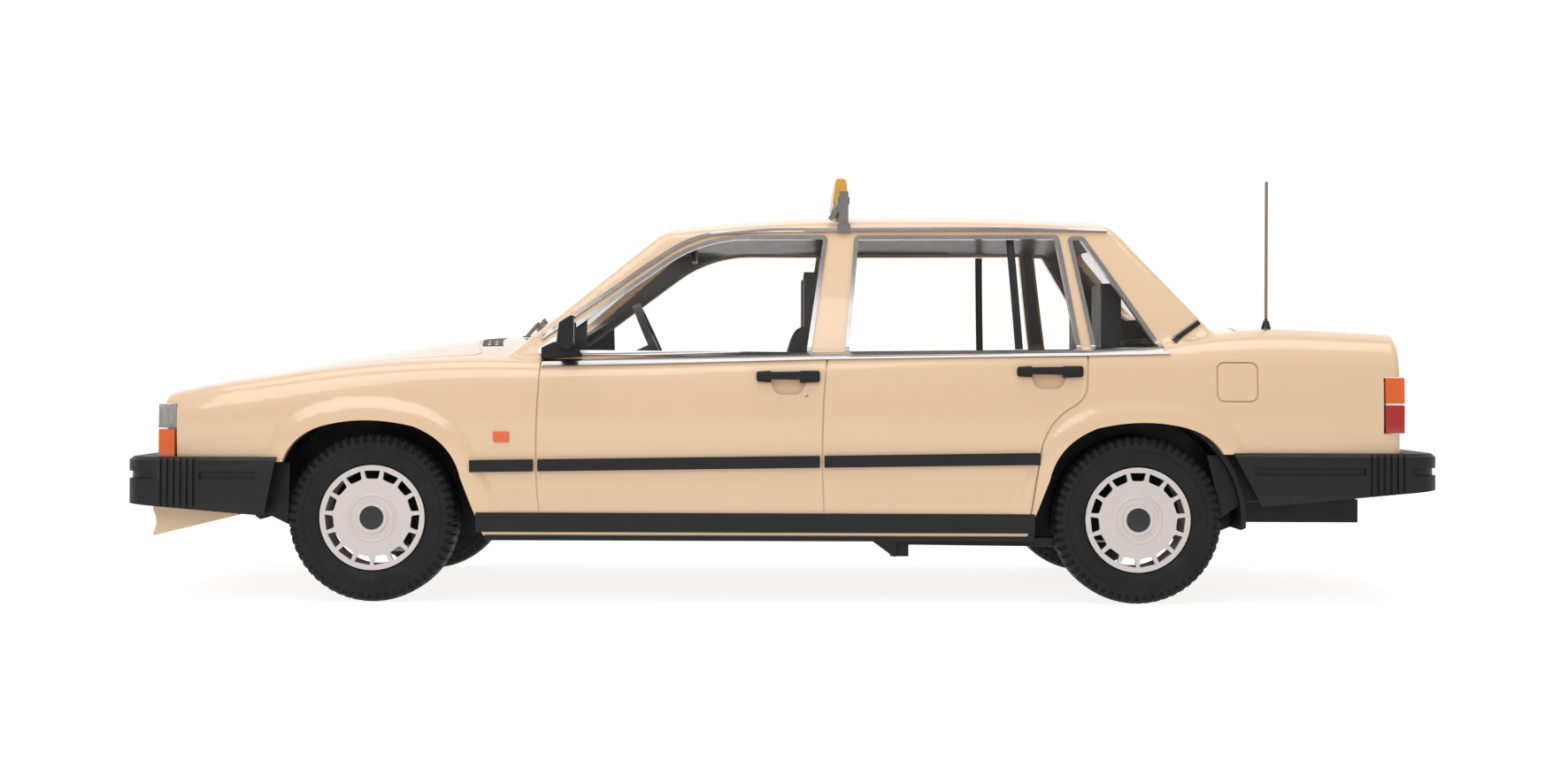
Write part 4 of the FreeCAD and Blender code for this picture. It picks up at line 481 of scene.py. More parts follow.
def body_form(inset, step=1.0, bottom=BODY_BOTTOM, flare=0.0):
    """Points of the closed body: radius of the joined lower body and cabin over place and angle.

    Returns an array (along, around, 3) whose first and last rows shrink to a point.
    """
    low, high = NOSE_X + inset, TAIL_X - inset
    near = END_ROUND - END_ROUND * np.cos(np.linspace(0, math.pi / 2, 7)[::-1])
    between = np.arange(low + END_ROUND, high - END_ROUND, ROW_GAP * step)[1:]
    x = np.unique(np.round(np.concatenate([low + near, between, high - near]), 5))
    from_end = np.minimum(np.minimum(x - low, high - x), END_ROUND)
    shrink = END_ROUND - np.sqrt(np.maximum(END_ROUND ** 2 - (END_ROUND - from_end) ** 2, 0))
    angles = section_angles(step)
    radius = np.array([soft_max(lower_radius(x[i:i + 1], angles, inset + shrink[i], bottom)[0],
                                cabin_radius(x[i:i + 1], angles, inset)[0], WAIST_FILLET)
                       for i in range(len(x))])
    y = radius * np.cos(angles)
    z = CENTRE_Z + radius * np.sin(angles)
    if flare:
        for axle_x, toward in ((FRONT_AXLE_X, 1), (REAR_AXLE_X, -1)):
            fade = np.clip((z - FLARE_FOOT) / FLARE_FADE, 0, 1) * (z < FLARE_TOP) * (y > FLARE_INNER)
            y = y + flare * flare_field(x[:, None] + 0 * y, z, axle_x, toward) * fade
    bent = x[:, None] + NOSE_BOW * (y / HALF_WIDTH) ** 2 * np.clip(1 - (x[:, None] - low) / BOW_REACH, 0, 1)
    bent = bent - TAIL_BOW * (y / HALF_WIDTH) ** 2 * np.clip(1 - (high - x[:, None]) / BOW_REACH, 0, 1)
    right = np.stack([bent, y, z], -1)
    left = right[:, -2:0:-1] * np.array((1, -1, 1))
    ring = np.concatenate([right, left], 1)
    middle = np.array((0, 0, CENTRE_Z))
    scales = np.array((0.0, 0.5, 0.94))[:, None, None]
    caps = []
    for edge, x_end, bow in ((ring[0], low, NOSE_BOW), (ring[-1], high, -TAIL_BOW)):
        cap = middle + (edge - middle) * scales
        cap[..., 0] = x_end + bow * (cap[..., 1] / HALF_WIDTH) ** 2
        caps.append(cap)
    return np.concatenate([caps[0], ring, caps[1][::-1]])


def arch_points(axle_x, toward):
    """The arch outline as dense points: straight, then arcs through the listed shares."""
    spots = np.array([(axle_x + toward * a * ARCH, AXLE_Z + b * ARCH) for a, b in ARCH_OUTLINE])
    t = np.linspace(0, 1, 12)
    rows = [spots[0][None], spots[1][None]]
    for i in (1, 3, 5):
        rows.append(through(spots[i][None], spots[i + 1][None], spots[i + 2][None], t)[0][1:])
    rows += [spots[8][None], spots[9][None]]
    return np.concatenate(rows)


def flare_field(x, z, axle_x, toward):
    """1 at the arch's edge, less at the band's far side, then 0 past a ramp, along the ray from the hub."""
    line = arch_points(axle_x, toward)
    turn = np.arctan2(line[:, 1] - AXLE_Z, toward * (line[:, 0] - axle_x))
    reach = np.hypot(line[:, 0] - axle_x, line[:, 1] - AXLE_Z)
    order = np.argsort(turn)
    edge = np.interp(np.arctan2(z - AXLE_Z, toward * (x - axle_x)), turn[order], reach[order])
    away = np.hypot(x - axle_x, z - AXLE_Z) - edge
    lip = np.clip((FLARE_BAND - away) / FLARE_RAMP, 0, 1)
    far, near = FLARE_SHARES
    return lip * lip * (3 - 2 * lip) * (far + near * np.clip(1 - away / FLARE_BAND, 0, 1))


def grid_mesh(points, name, wrapped=False):
    """A closed mesh from rows of rings, facing outwards; end rows are points, or the last joins the first."""
    rows, around = points.shape[:2]
    index = np.arange(rows * around).reshape(rows, around)
    below, ahead = np.roll(index, -1, axis=0), np.roll(index, -1, axis=1)
    quads = np.stack([index, below, np.roll(below, -1, axis=1), ahead], -1)
    quads = (quads if wrapped else quads[:-1]).reshape(-1, 4)
    mesh = bpy.data.meshes.new(name)
    mesh.from_pydata((points.reshape(-1, 3) * MM).tolist(), [], quads.tolist())
    return finished(mesh)


def turned(profile, centre, count, name):
    """A closed profile of (place along the axle, radius) turned about an axle parallel to Y at a centre."""
    turn = np.linspace(0, 2 * math.pi, count, endpoint=False)[:, None]
    along, radius = profile[None, :, 0], profile[None, :, 1]
    points = np.stack([centre[0] + radius * np.cos(turn), centre[1] + along + 0 * turn,
                       centre[2] + radius * np.sin(turn)], -1)
    return grid_mesh(points, name, wrapped=True)


def finished(mesh):
    """Merges doubled points and turns all faces outwards."""
    work = bmesh.new()
    work.from_mesh(mesh)
    bmesh.ops.remove_doubles(work, verts=work.verts, dist=1e-6)
    bmesh.ops.recalc_face_normals(work, faces=work.faces)
    work.to_mesh(mesh)
    work.free()
    return mesh


def rounded_outline(corners, steps=8):
    """2-D outline with each corner (a, b, radius) turned by a tangent arc."""
    spots = np.array([c[:2] for c in corners], float)
    rows = []
    for i, (_, _, radius) in enumerate(corners):
        spot = spots[i]
        back = spots[i - 1] - spot
        ahead = spots[(i + 1) % len(spots)] - spot
        back, ahead = back / np.hypot(*back), ahead / np.hypot(*ahead)
        if radius <= 0:
            rows.append(spot[None])
            continue
        half = math.acos(np.clip(back @ ahead, -1, 1)) / 2
        toward = (back + ahead) / np.hypot(*(back + ahead))
        centre = spot + toward * radius / math.sin(half)
        start = spot + back * radius / math.tan(half) - centre
        end = spot + ahead * radius / math.tan(half) - centre
        a0, a1 = math.atan2(start[1], start[0]), math.atan2(end[1], end[0])
        sweep = (a1 - a0 + math.pi) % (2 * math.pi) - math.pi
        turn = a0 + sweep * np.linspace(0, 1, steps)
        rows.append(centre + radius * np.stack([np.cos(turn), np.sin(turn)], -1))
    return np.concatenate(rows)


def window_outline(shares, shrink=0.0):
    """A side window's outline, moved inwards by shrink."""
    corners = [(SCREEN_X + a * CABIN_LENGTH, BELT + b * WINDOW_HEIGHT, r * WINDOW_HEIGHT)
               for a, b, r in shares]
    return inward(rounded_outline(corners), shrink)


def inward(outline, distance):
    """An outline moved inwards: each point goes along the mean of its two edges' normals."""
    ahead = np.roll(outline, -1, 0) - outline
    ahead = ahead / np.maximum(np.hypot(ahead[:, 0], ahead[:, 1]), 1e-9)[:, None]
    normal = np.stack([-ahead[:, 1], ahead[:, 0]], -1)
    area = np.sum(outline[:, 0] * np.roll(outline[:, 1], -1) - np.roll(outline[:, 0], -1) * outline[:, 1])
    both = normal + np.roll(normal, 1, 0)
    both = both / np.maximum(np.sum(both ** 2, 1), 1e-6)[:, None] * 2
    return outline + both * distance * (1 if area > 0 else -1)


def prism(name, outline, axis, start, end):
    """A closed prism: an outline in the plane across an axis, carried from start to end along it."""
    count = len(outline)
    points = np.zeros((2, count, 3))
    others = [i for i in range(3) if i != axis]
    points[:, :, others] = outline[None]
    points[0, :, axis], points[1, :, axis] = start, end
    index = np.arange(count)
    ahead = (index + 1) % count
    quads = np.stack([index, ahead, ahead + count, index + count], -1).tolist()
    mesh = bpy.data.meshes.new(name)
    mesh.from_pydata((points.reshape(-1, 3) * MM).tolist(), [],
                     quads + [index[::-1].tolist(), (index + count).tolist()])
    return finished(mesh)


def sideways(name, outline):
    """A prism right through the car from side to side."""
    return prism(name, outline, 1, -ACROSS, ACROSS)


def screen_prism(opening, zone):
    """A prism along the car with the round-cornered outline of a screen's opening."""
    low_half, low, high_half, high = opening
    corners = ((-low_half, low), (low_half, low), (high_half, high), (-high_half, high))
    return prism("cut", rounded_outline([corner + (OPENING_CORNER,) for corner in corners]), 0, *zone)


def box_mesh(name, low, high):
    """A closed box between two corners."""
    outline = np.array(((low[0], low[1]), (high[0], low[1]), (high[0], high[1]), (low[0], high[1])))
    return prism(name, outline, 2, low[2], high[2])


def ribbon(line, width):
    """The outline of a narrow band along an open line."""
    ahead = np.gradient(line, axis=0)
    ahead = ahead / np.hypot(ahead[:, 0], ahead[:, 1])[:, None]
    normal = np.stack([-ahead[:, 1], ahead[:, 0]], -1) * width / 2
    return np.concatenate([line + normal, (line - normal)[::-1]])


def combined(name, base, others, operation="DIFFERENCE"):
    """A mesh after solid operations with other closed meshes."""
    holder = bpy.data.objects.new(name, base)
    bpy.context.scene.collection.objects.link(holder)
    tools = []
    for other in others:
        tool = bpy.data.objects.new(name + "_tool", other)
        bpy.context.scene.collection.objects.link(tool)
        tools.append(tool)
        change = holder.modifiers.new("solid", "BOOLEAN")
        change.operation = operation
        change.solver = "MANIFOLD"
        change.object = tool
    bpy.context.view_layer.update()
    shown = holder.evaluated_get(bpy.context.evaluated_depsgraph_get())
    result = bpy.data.meshes.new_from_object(shown)
    result.name = name
    for item in tools + [holder]:
        bpy.data.objects.remove(item)
    return result


def group(name, meshes):
    """Several separate closed meshes as one."""
    work = bmesh.new()
    for mesh in meshes:
        work.from_mesh(mesh)
    result = bpy.data.meshes.new(name)
    work.to_mesh(result)
    work.free()
    return result


def piece(name, mesh, slot, body="root", replaces=(), angle=35.0, bevel=0.0, material=None):
    """A finished object: smooth but for edges sharper than an angle, riding on its body."""
    result = bpy.data.objects.new(name, mesh)
    bpy.context.scene.collection.objects.link(result)
    mesh.materials.clear()
    mesh.materials.append(MATERIALS[material or slot])
    mesh.polygons.foreach_set("use_smooth", np.ones(len(mesh.polygons), bool))
    mesh.set_sharp_from_angle(angle=math.radians(angle))
    if bevel:
        soften(result, bevel, angle)
    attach(result, body)
    if replaces:
        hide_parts(*replaces)
    return result


def soften(item, width, angle=35.0):
    """A small round on the sharp edges, which catches the light as a moulding's does."""
    change = item.modifiers.new("round", "BEVEL")
    change.width = width * MM
    change.segments = 2
    change.limit_method = "ANGLE"
    change.angle_limit = math.radians(angle)
    change.harden_normals = True


def dressed(name, width, cutters=()):
    """A frame node's shape merged into one surface, with its edges rounded; it stands for the node."""
    node = NODES[name]
    mesh = node.data.copy()
    work = bmesh.new()
    work.from_mesh(mesh)
    bmesh.ops.remove_doubles(work, verts=work.verts, dist=2e-6)
    bmesh.ops.dissolve_limit(work, angle_limit=math.radians(0.5), verts=work.verts, edges=work.edges)
    work.to_mesh(mesh)
    work.free()
    if cutters:
        mesh = combined(name + "_cut", mesh, list(cutters))
    rows = {row["node"]: row["material_slot"] for row in FRAME["record"]["subparts"]}
    owner = next(body for body, names in FRAME["record"]["behaviour"]["bodies"].items() if name in names)
    return piece("finished_" + name, mesh, rows[name], owner, (name,), 30.0, width)


# The joined forms that several pieces are cut from, by inset
FORMS = {}


def form(inset, flare=0.0, step=1.0):
    """A copy of the closed body form at an inset."""
    key = (inset, flare, step)
    if key not in FORMS:
        bottom = BODY_BOTTOM if inset <= 0 else BODY_BOTTOM - 4
        FORMS[key] = grid_mesh(body_form(inset, step, bottom, flare), "form")
    return FORMS[key].copy()


def skin_piece(name, outlines, outer, inner):
    """The layer of the body between two insets, inside outlines carried across it."""
    tools = [sideways(name, outline) for outline in outlines]
    layer = combined(name, form(outer), [group(name, tools)], "INTERSECT")
    return combined(name, layer, [form(inner)])


def uneven(tree, shader, roughness, size, spread=0.15):
    """Roughness that wanders by a share of itself over patches of a size in millimetres."""
    noise = add(tree, "ShaderNodeTexNoise", {"Vector": place_of(tree), "Scale": 1 / size, "Detail": 3.0})
    wander = add(tree, "ShaderNodeMapRange", {
        "Value": noise.outputs[0], "From Min": 0.3, "From Max": 0.7,
        "To Min": roughness * (1 - spread), "To Max": roughness * (1 + spread)})
    tree.links.new(wander.outputs[0], shader.inputs["Roughness"])


def enamel(name, colour):
    """Sprayed enamel on die-cast zinc: an even, deep colour under a clear gloss.

    The thick coat leaves a faint orange peel about 1.5 mm across, seen only where the lamps glance off it.
    """
    material, tree, shader = new_material(name)
    peel = add(tree, "ShaderNodeTexNoise", {"Vector": place_of(tree), "Scale": 1 / 1.5, "Detail": 1.0})
    bump = add(tree, "ShaderNodeBump", {"Strength": 0.02, "Distance": 0.00002, "Height": peel.outputs[0]})
    shader.inputs["Base Color"].default_value = colour
    shader.inputs["Coat Weight"].default_value = 0.8
    shader.inputs["Coat Roughness"].default_value = 0.05
    uneven(tree, shader, 0.26, 25.0, 0.02)
    tree.links.new(bump.outputs[0], shader.inputs["Normal"])
    return material


def plain(name, colour, roughness, metallic=0.0, grain=0.05, grain_size=0.3, coat=0.0, transmission=0.0,
          gloss=0.5):
    """A moulded or plated surface: fine grain and patchy gloss, both sized in millimetres."""
    material, tree, shader = new_material(name)
    shader.inputs["Base Color"].default_value = colour
    shader.inputs["Metallic"].default_value = metallic
    shader.inputs["Coat Weight"].default_value = coat
    shader.inputs["Transmission Weight"].default_value = transmission
    shader.inputs["Specular IOR Level"].default_value = gloss
    uneven(tree, shader, roughness, grain_size * 12)
    place = place_of(tree)
    noise = add(tree, "ShaderNodeTexNoise", {"Vector": place, "Scale": 1 / grain_size, "Detail": 2.0})
    bump = add(tree, "ShaderNodeBump", {"Strength": grain, "Distance": 0.00005, "Height": noise.outputs[0]})
    tree.links.new(bump.outputs[0], shader.inputs["Normal"])
    return material


def banded(name, low_colour, high_colour, height, roughness, metallic):
    """Two finishes on one rod: moulded plastic below a height in millimetres, drawn wire above it."""
    material, tree, shader = new_material(name)
    place = add(tree, "ShaderNodeSeparateXYZ", {0: place_of(tree)})
    above = add(tree, "ShaderNodeMath", {0: place.outputs["Z"], 1: height}, operation="GREATER_THAN")
    colour = add(tree, "ShaderNodeMix", {"Factor": above.outputs[0]}, data_type="RGBA")
    colour.inputs[6].default_value = low_colour
    colour.inputs[7].default_value = high_colour
    shine = add(tree, "ShaderNodeMath", {0: above.outputs[0], 1: metallic}, operation="MULTIPLY")
    tree.links.new(colour.outputs[2], shader.inputs["Base Color"])
    tree.links.new(shine.outputs[0], shader.inputs["Metallic"])
    uneven(tree, shader, roughness, 3.0)
    return material


def ribbed_cloth(name, colour):
    """Seat trim in soft black plastic: pleats 2.4 mm apart across the car over a fine leather grain."""
    material, tree, shader = new_material(name)
    place = place_of(tree)
    part = add(tree, "ShaderNodeSeparateXYZ", {0: place})
    turn = add(tree, "ShaderNodeMath", {0: part.outputs["Y"], 1: 2 * math.pi / 2.4}, operation="MULTIPLY")
    pleat = add(tree, "ShaderNodeMath", {0: turn.outputs[0]}, operation="COSINE")
    crest = add(tree, "ShaderNodeMath", {0: pleat.outputs[0], 1: -0.8}, operation="MAXIMUM")
    grain = add(tree, "ShaderNodeTexVoronoi", {"Vector": place, "Scale": 1 / 0.5})
    height = add(tree, "ShaderNodeMath", {0: grain.outputs["Distance"], 1: 0.15, 2: crest.outputs[0]},
                 operation="MULTIPLY_ADD")
    bump = add(tree, "ShaderNodeBump", {"Strength": 0.6, "Distance": 0.00015, "Height": height.outputs[0]})
    shader.inputs["Base Color"].default_value = colour
    shader.inputs["Specular IOR Level"].default_value = 0.35
    uneven(tree, shader, 0.45, 5.0)
    tree.links.new(bump.outputs[0], shader.inputs["Normal"])
    return material


def glazing(name, colour):
    """Clear moulded styrene panes: almost unseen, with a thin gloss that grows at a glancing angle."""
    material, tree, shader = new_material(name)
    shader.inputs["Base Color"].default_value = colour
    uneven(tree, shader, 0.03, 20.0)
    facing = add(tree, "ShaderNodeLayerWeight", {"Blend": 0.3})
    alpha = add(tree, "ShaderNodeMapRange", {
        "Value": facing.outputs["Facing"], "From Min": 0.25, "To Min": 0.012, "To Max": 0.35})
    tree.links.new(alpha.outputs[0], shader.inputs["Alpha"])
    return material


def fluted(name, colour, transmission):
    """Moulded lamp plastic: glossy outside, with upright flutes 0.9 mm apart that break up what is behind."""
    material, tree, shader = new_material(name)
    place = add(tree, "ShaderNodeSeparateXYZ", {0: place_of(tree)})
    across = add(tree, "ShaderNodeMath", {0: place.outputs["Y"], 1: place.outputs["X"]}, operation="ADD")
    turn = add(tree, "ShaderNodeMath", {0: across.outputs[0], 1: 2 * math.pi / 0.9}, operation="MULTIPLY")
    wave = add(tree, "ShaderNodeMath", {0: turn.outputs[0]}, operation="SINE")
    bump = add(tree, "ShaderNodeBump", {"Strength": 0.5, "Distance": 0.00012, "Height": wave.outputs[0]})
    shader.inputs["Base Color"].default_value = colour
    shader.inputs["Transmission Weight"].default_value = transmission
    shader.inputs["Coat Weight"].default_value = 0.6
    uneven(tree, shader, 0.08, 4.0)
    tree.links.new(bump.outputs[0], shader.inputs["Normal"])
    return material


MATERIALS = {}


def make_materials():
    """All finishes, by the slot that they belong to."""
    MATERIALS.update({
        "body_paint": enamel("beige_enamel", linear("#E6C6A2")),
        "clear_glazing": glazing("clear_styrene", linear("#F2F5F3")),
        "bright_trim": plain("vacuum_plated_chrome", linear("#A8A4A3"), 0.2, metallic=1.0),
        "black_plastic": plain("grained_black_plastic", linear("#141416"), 0.5, grain=0.35, gloss=0.35),
        "clear_lens": fluted("clear_lamp_styrene", linear("#F4F4F0"), 0.9),
        "amber_lens": fluted("amber_lamp_styrene", linear("#F2691F"), 0.12),
        "red_lens": fluted("red_lamp_styrene", linear("#BC1D14"), 0.12),
        "grey_metal": plain("satin_grey_paint_on_metal", linear("#7C7A79"), 0.4, metallic=0.6),
        "yellow_lens": plain("yellow_lamp_plastic", linear("#EDB13C"), 0.3, transmission=0.15, coat=0.4),
        "steel": plain("drawn_steel_rod", linear("#A8A8AA"), 0.3, metallic=1.0),
        "interior_plastic": plain("black_interior_plastic", linear("#1B1B1E"), 0.5, grain=0.3, gloss=0.4),
        "seat_plastic": ribbed_cloth("black_seat_vinyl", linear("#131315")),
        "lining_plastic": plain("grey_lining_plastic", linear("#6E6866"), 0.35, grain=0.2),
        "tyre_rubber": plain("black_tyre_rubber", linear("#161617"), 0.62, grain=0.25, gloss=0.3),
        "silver_cover": plain("silver_lacquered_cover", linear("#D6CFCD"), 0.45, metallic=0.35, grain=0.12,
                              grain_size=0.12),
        "white_plastic": plain("blank_white_plate", linear("#E4E2DC"), 0.4),
        "dark_disc": plain("satin_black_lacquer", linear("#232325"), 0.35),
        "mirror_glass": plain("mirror_foil", linear("#E6E6EA"), 0.03, metallic=1.0, grain=0.0),
        "aerial_rod": banded("aerial_wire_in_plastic_foot", linear("#161618"), linear("#8E8580"), 58.0, 0.4,
                             0.6),
    })


class TaxiStage(bpy.types.PropertyGroup):
    """Camera, floor and lights."""
    distance: FloatProperty(name="Camera distance", description="Camera to the car's middle plane, in mm",
                            default=494.5)
    view_height: FloatProperty(name="Camera height", description="Height of the camera, in mm", default=44.8)
    view_x: FloatProperty(name="Camera place", description="Camera's place along the car, in mm",
                          default=-2.6)
    roll: FloatProperty(name="Camera roll", description="Turn of the camera about its own axis",
                        default=-0.00335, subtype="ANGLE")
    light: FloatProperty(name="Light level", description="Share of the lamps' and world's full strength",
                         default=0.7)
    focal: FloatProperty(name="Focal length", description="Lens on a 36 mm frame, in mm", default=51.34)


class TaxiWheels(bpy.types.PropertyGroup):
    """Tyre and cover sizes."""
    rim_radius: FloatProperty(name="Rim radius", description="Where the tyre sits on its rim, in mm",
                              default=10.57)
    blocks: IntProperty(name="Shoulder blocks", description="Blocks round each shoulder of the tread",
                        default=58)
    groove: FloatProperty(name="Groove depth", description="Depth of the tread's grooves, in mm", default=0.4)
    boss_stand: FloatProperty(name="Boss", description="How far the hub's boss stands out, in mm",
                              default=0.5)
    ring_height: FloatProperty(name="Ring height", description="Height of the ring round the boss, in mm",
                               default=0.16)
    ring_radii: FloatVectorProperty(name="Ring radii", description="Ring's inner and outer radius, in mm",
                                    size=2, default=(4.25, 4.95))
    disc_radius: FloatProperty(name="Centre disc", description="Radius of the plain dark disc, in mm",
                               default=2.4)


class TaxiBody(bpy.types.PropertyGroup):
    """Body sizes."""
    groove_width: FloatProperty(name="Panel line width", description="Width of the panel lines, in mm",
                                default=0.36)
    groove_depth: FloatProperty(name="Panel line depth", description="Depth of the panel lines, in mm",
                                default=0.45)
    wall: FloatProperty(name="Wall", description="Thickness of the casting, in mm", default=1.5)
    flare: FloatProperty(name="Arch flare", description="How far the wheel arches stand out, in mm",
                         default=0.7)
    frame_width: FloatProperty(name="Frame width", description="Width of the bright window frames, in mm",
                               default=0.9)
    rail_width: FloatProperty(name="Rail width", description="Width of the bright drip rails, in mm",
                              default=0.8)
    rail_stand: FloatProperty(name="Rail height", description="How far the drip rails stand out, in mm",
                              default=0.4)
    apron_front: FloatProperty(name="Front apron", description="Edge height behind the front bumper, in mm",
                               default=28.2)
    apron_rear: FloatProperty(name="Rear apron", description="Edge height behind the rear bumper, in mm",
                              default=30.3)


def door_line(shares):
    """A door edge as a smooth line: parabolas through the listed places."""
    spots = np.array([(NOSE_X + a * (TAIL_X - NOSE_X), b * BELT) for a, b in shares])
    t = np.linspace(0, 1, 14)
    if len(spots) == 3:
        return through(spots[:1], spots[1:2], spots[2:], t)[0]
    rows = [spots[:1], through(spots[1:2], spots[2:3], spots[3:4], t)[0],
            through(spots[3:4], spots[4:5], spots[5:6], t)[0][1:], spots[6:]]
    return np.concatenate(rows)


def lid_line(end_x, inner_x, half, bow):
    """The bonnet's or boot lid's edge seen from above: two long sides and a bowed end with round corners."""
    toward = math.copysign(1.0, inner_x - end_x)
    t = np.linspace(-1, 1, 31)
    turn = np.linspace(0, math.pi / 2, 6)[1:-1]
    start_x = inner_x - toward * LID_CORNER
    corner = np.stack([start_x + toward * LID_CORNER * np.sin(turn),
                       -half + LID_CORNER * (1 - np.cos(turn))], -1)
    middle = np.stack([inner_x - toward * bow * (1 - t ** 2), t * (half - LID_CORNER)], -1)
    line = [[(end_x, -half), (start_x, -half)], corner, middle, (corner * (1, -1))[::-1],
            [(start_x, half), (end_x, half)]]
    return np.concatenate(line)


def openings(front_apron, rear_apron):
    """Cutters for windows, screens, wheel arches, lamp recesses and the aprons behind the bumpers."""
    cutters = [sideways("cut", window_outline(window, OPENING_INSET)) for window in SIDE_WINDOWS]
    cutters += [screen_prism(SCREEN_OPENING, SCREEN_ZONE), screen_prism(REAR_OPENING, REAR_ZONE)]
    for axle_x, toward in ((FRONT_AXLE_X, 1), (REAR_AXLE_X, -1)):
        line = arch_points(axle_x, toward)
        foot = [[line[-1, 0], ARCH_FOOT], [line[0, 0], ARCH_FOOT]]
        cutters.append(sideways("cut", np.concatenate([line, foot])))
    front, rear = NOSE_X - CUT_PAST, TAIL_X + CUT_PAST
    depth, low, high = FRONT_LAMP_RECESS
    cutters.append(box_mesh("cut", (front, -ACROSS, low), (NOSE_X + depth, ACROSS, high)))
    depth, low, high = REAR_LAMP_RECESS
    for y0, y1 in ((-ACROSS, -REAR_LAMP_INNER), (REAR_LAMP_INNER, ACROSS)):
        cutters.append(box_mesh("cut", (TAIL_X - depth, y0, low), (rear, y1, high)))
    front_reach, rear_reach = APRON_REACHES
    cutters.append(box_mesh("cut", (front, -ACROSS, 0), (NOSE_X + front_reach, ACROSS, front_apron)))
    cutters.append(box_mesh("cut", (TAIL_X - rear_reach, -ACROSS, 0), (rear, ACROSS, rear_apron)))
    return cutters


def panel_grooves(width, depth):
    """Cutters for door edges, lids, fuel flap and handle scoops, each only as deep as its groove."""
    lines = [sideways("cut", ribbon(door_line(line), width)) for line in DOOR_LINES]
    for end_x, (edge, half, bow, low) in ((NOSE_X - LID_PAST, BONNET_LINE), (TAIL_X + LID_PAST, BOOT_LINE)):
        lines.append(prism("cut", ribbon(lid_line(end_x, edge, half, bow), width), 2, low, LID_TOP))
    face = ribbon(np.array(BOOT_FACE_LINE), width)
    lines.append(prism("cut", face, 0, TAIL_X - BOOT_FACE_DEPTH, TAIL_X + CUT_PAST))
    flap = rounded_outline([
        (FLAP_MIDDLE[0] + a * FLAP_HALVES[0], FLAP_MIDDLE[1] + b * FLAP_HALVES[1], FLAP_CORNER)
        for a, b in ((-1, -1), (1, -1), (1, 1), (-1, 1))])
    core = prism("cut", inward(flap, width), 1, -ACROSS - 1, 1 - FLAP_INNER)
    lines.append(combined("groove", prism("cut", flap, 1, -ACROSS, -FLAP_INNER), [core]))
    cuts = [combined("groove", line, [form(depth)]) for line in lines]
    for x, z in SCOOPS:
        scoop = rounded_outline([(x + a, z + b, radius) for a, b, radius in SCOOP_OUTLINE])
        cuts.append(combined("scoop", sideways("cut", scoop), [form(SCOOP_DEPTH, 0.0, COARSE_STEP)]))
    return cuts


class TAXI_OT_body(bpy.types.Operator):
    """Body and cabin as one smooth casting, with its openings and panel lines"""
    bl_idname = "taxi.body"
    bl_label = "Body"

    def execute(self, context):
        sizes = context.scene.taxi_body
        cutters = [form(sizes.wall, 0.0, WALL_STEP)] + openings(sizes.apron_front, sizes.apron_rear)
        cutters += panel_grooves(sizes.groove_width, sizes.groove_depth)
        shell = combined("body", form(0.0, sizes.flare), cutters)
        piece("body", shell, "body_paint", replaces=("body_shell", "roof_and_pillars"))
        return {"FINISHED"}


def tyre_profile(half, outer, inner):
    """The tyre's closed cross-section, as (place across, radius): tread, shoulders, walls and bead."""
    spots = np.array((
        (0.0, outer), (0.52, outer - 0.03), (0.72, outer - 0.12), (0.86, outer - 0.5), (0.94, outer - 1.3),
        (0.975, outer - 2.4), (1.0, outer - 3.9), (0.97, outer - 5.2), (0.90, outer - 6.0),
        (0.86, inner + 0.05), (0.80, inner), (0.0, inner)))
    spots = spots * np.array((half, 1.0))
    length = np.concatenate([[0], np.cumsum(np.hypot(*np.diff(spots, axis=0).T))])
    at = np.concatenate([np.arange(0, length[8], TYRE_STEP), np.linspace(length[8], length[-1], 9)])
    side = np.stack([np.interp(at, length, spots[:, k]) for k in (0, 1)], -1)
    return np.concatenate([side, (side * np.array((-1, 1)))[-2:0:-1]])


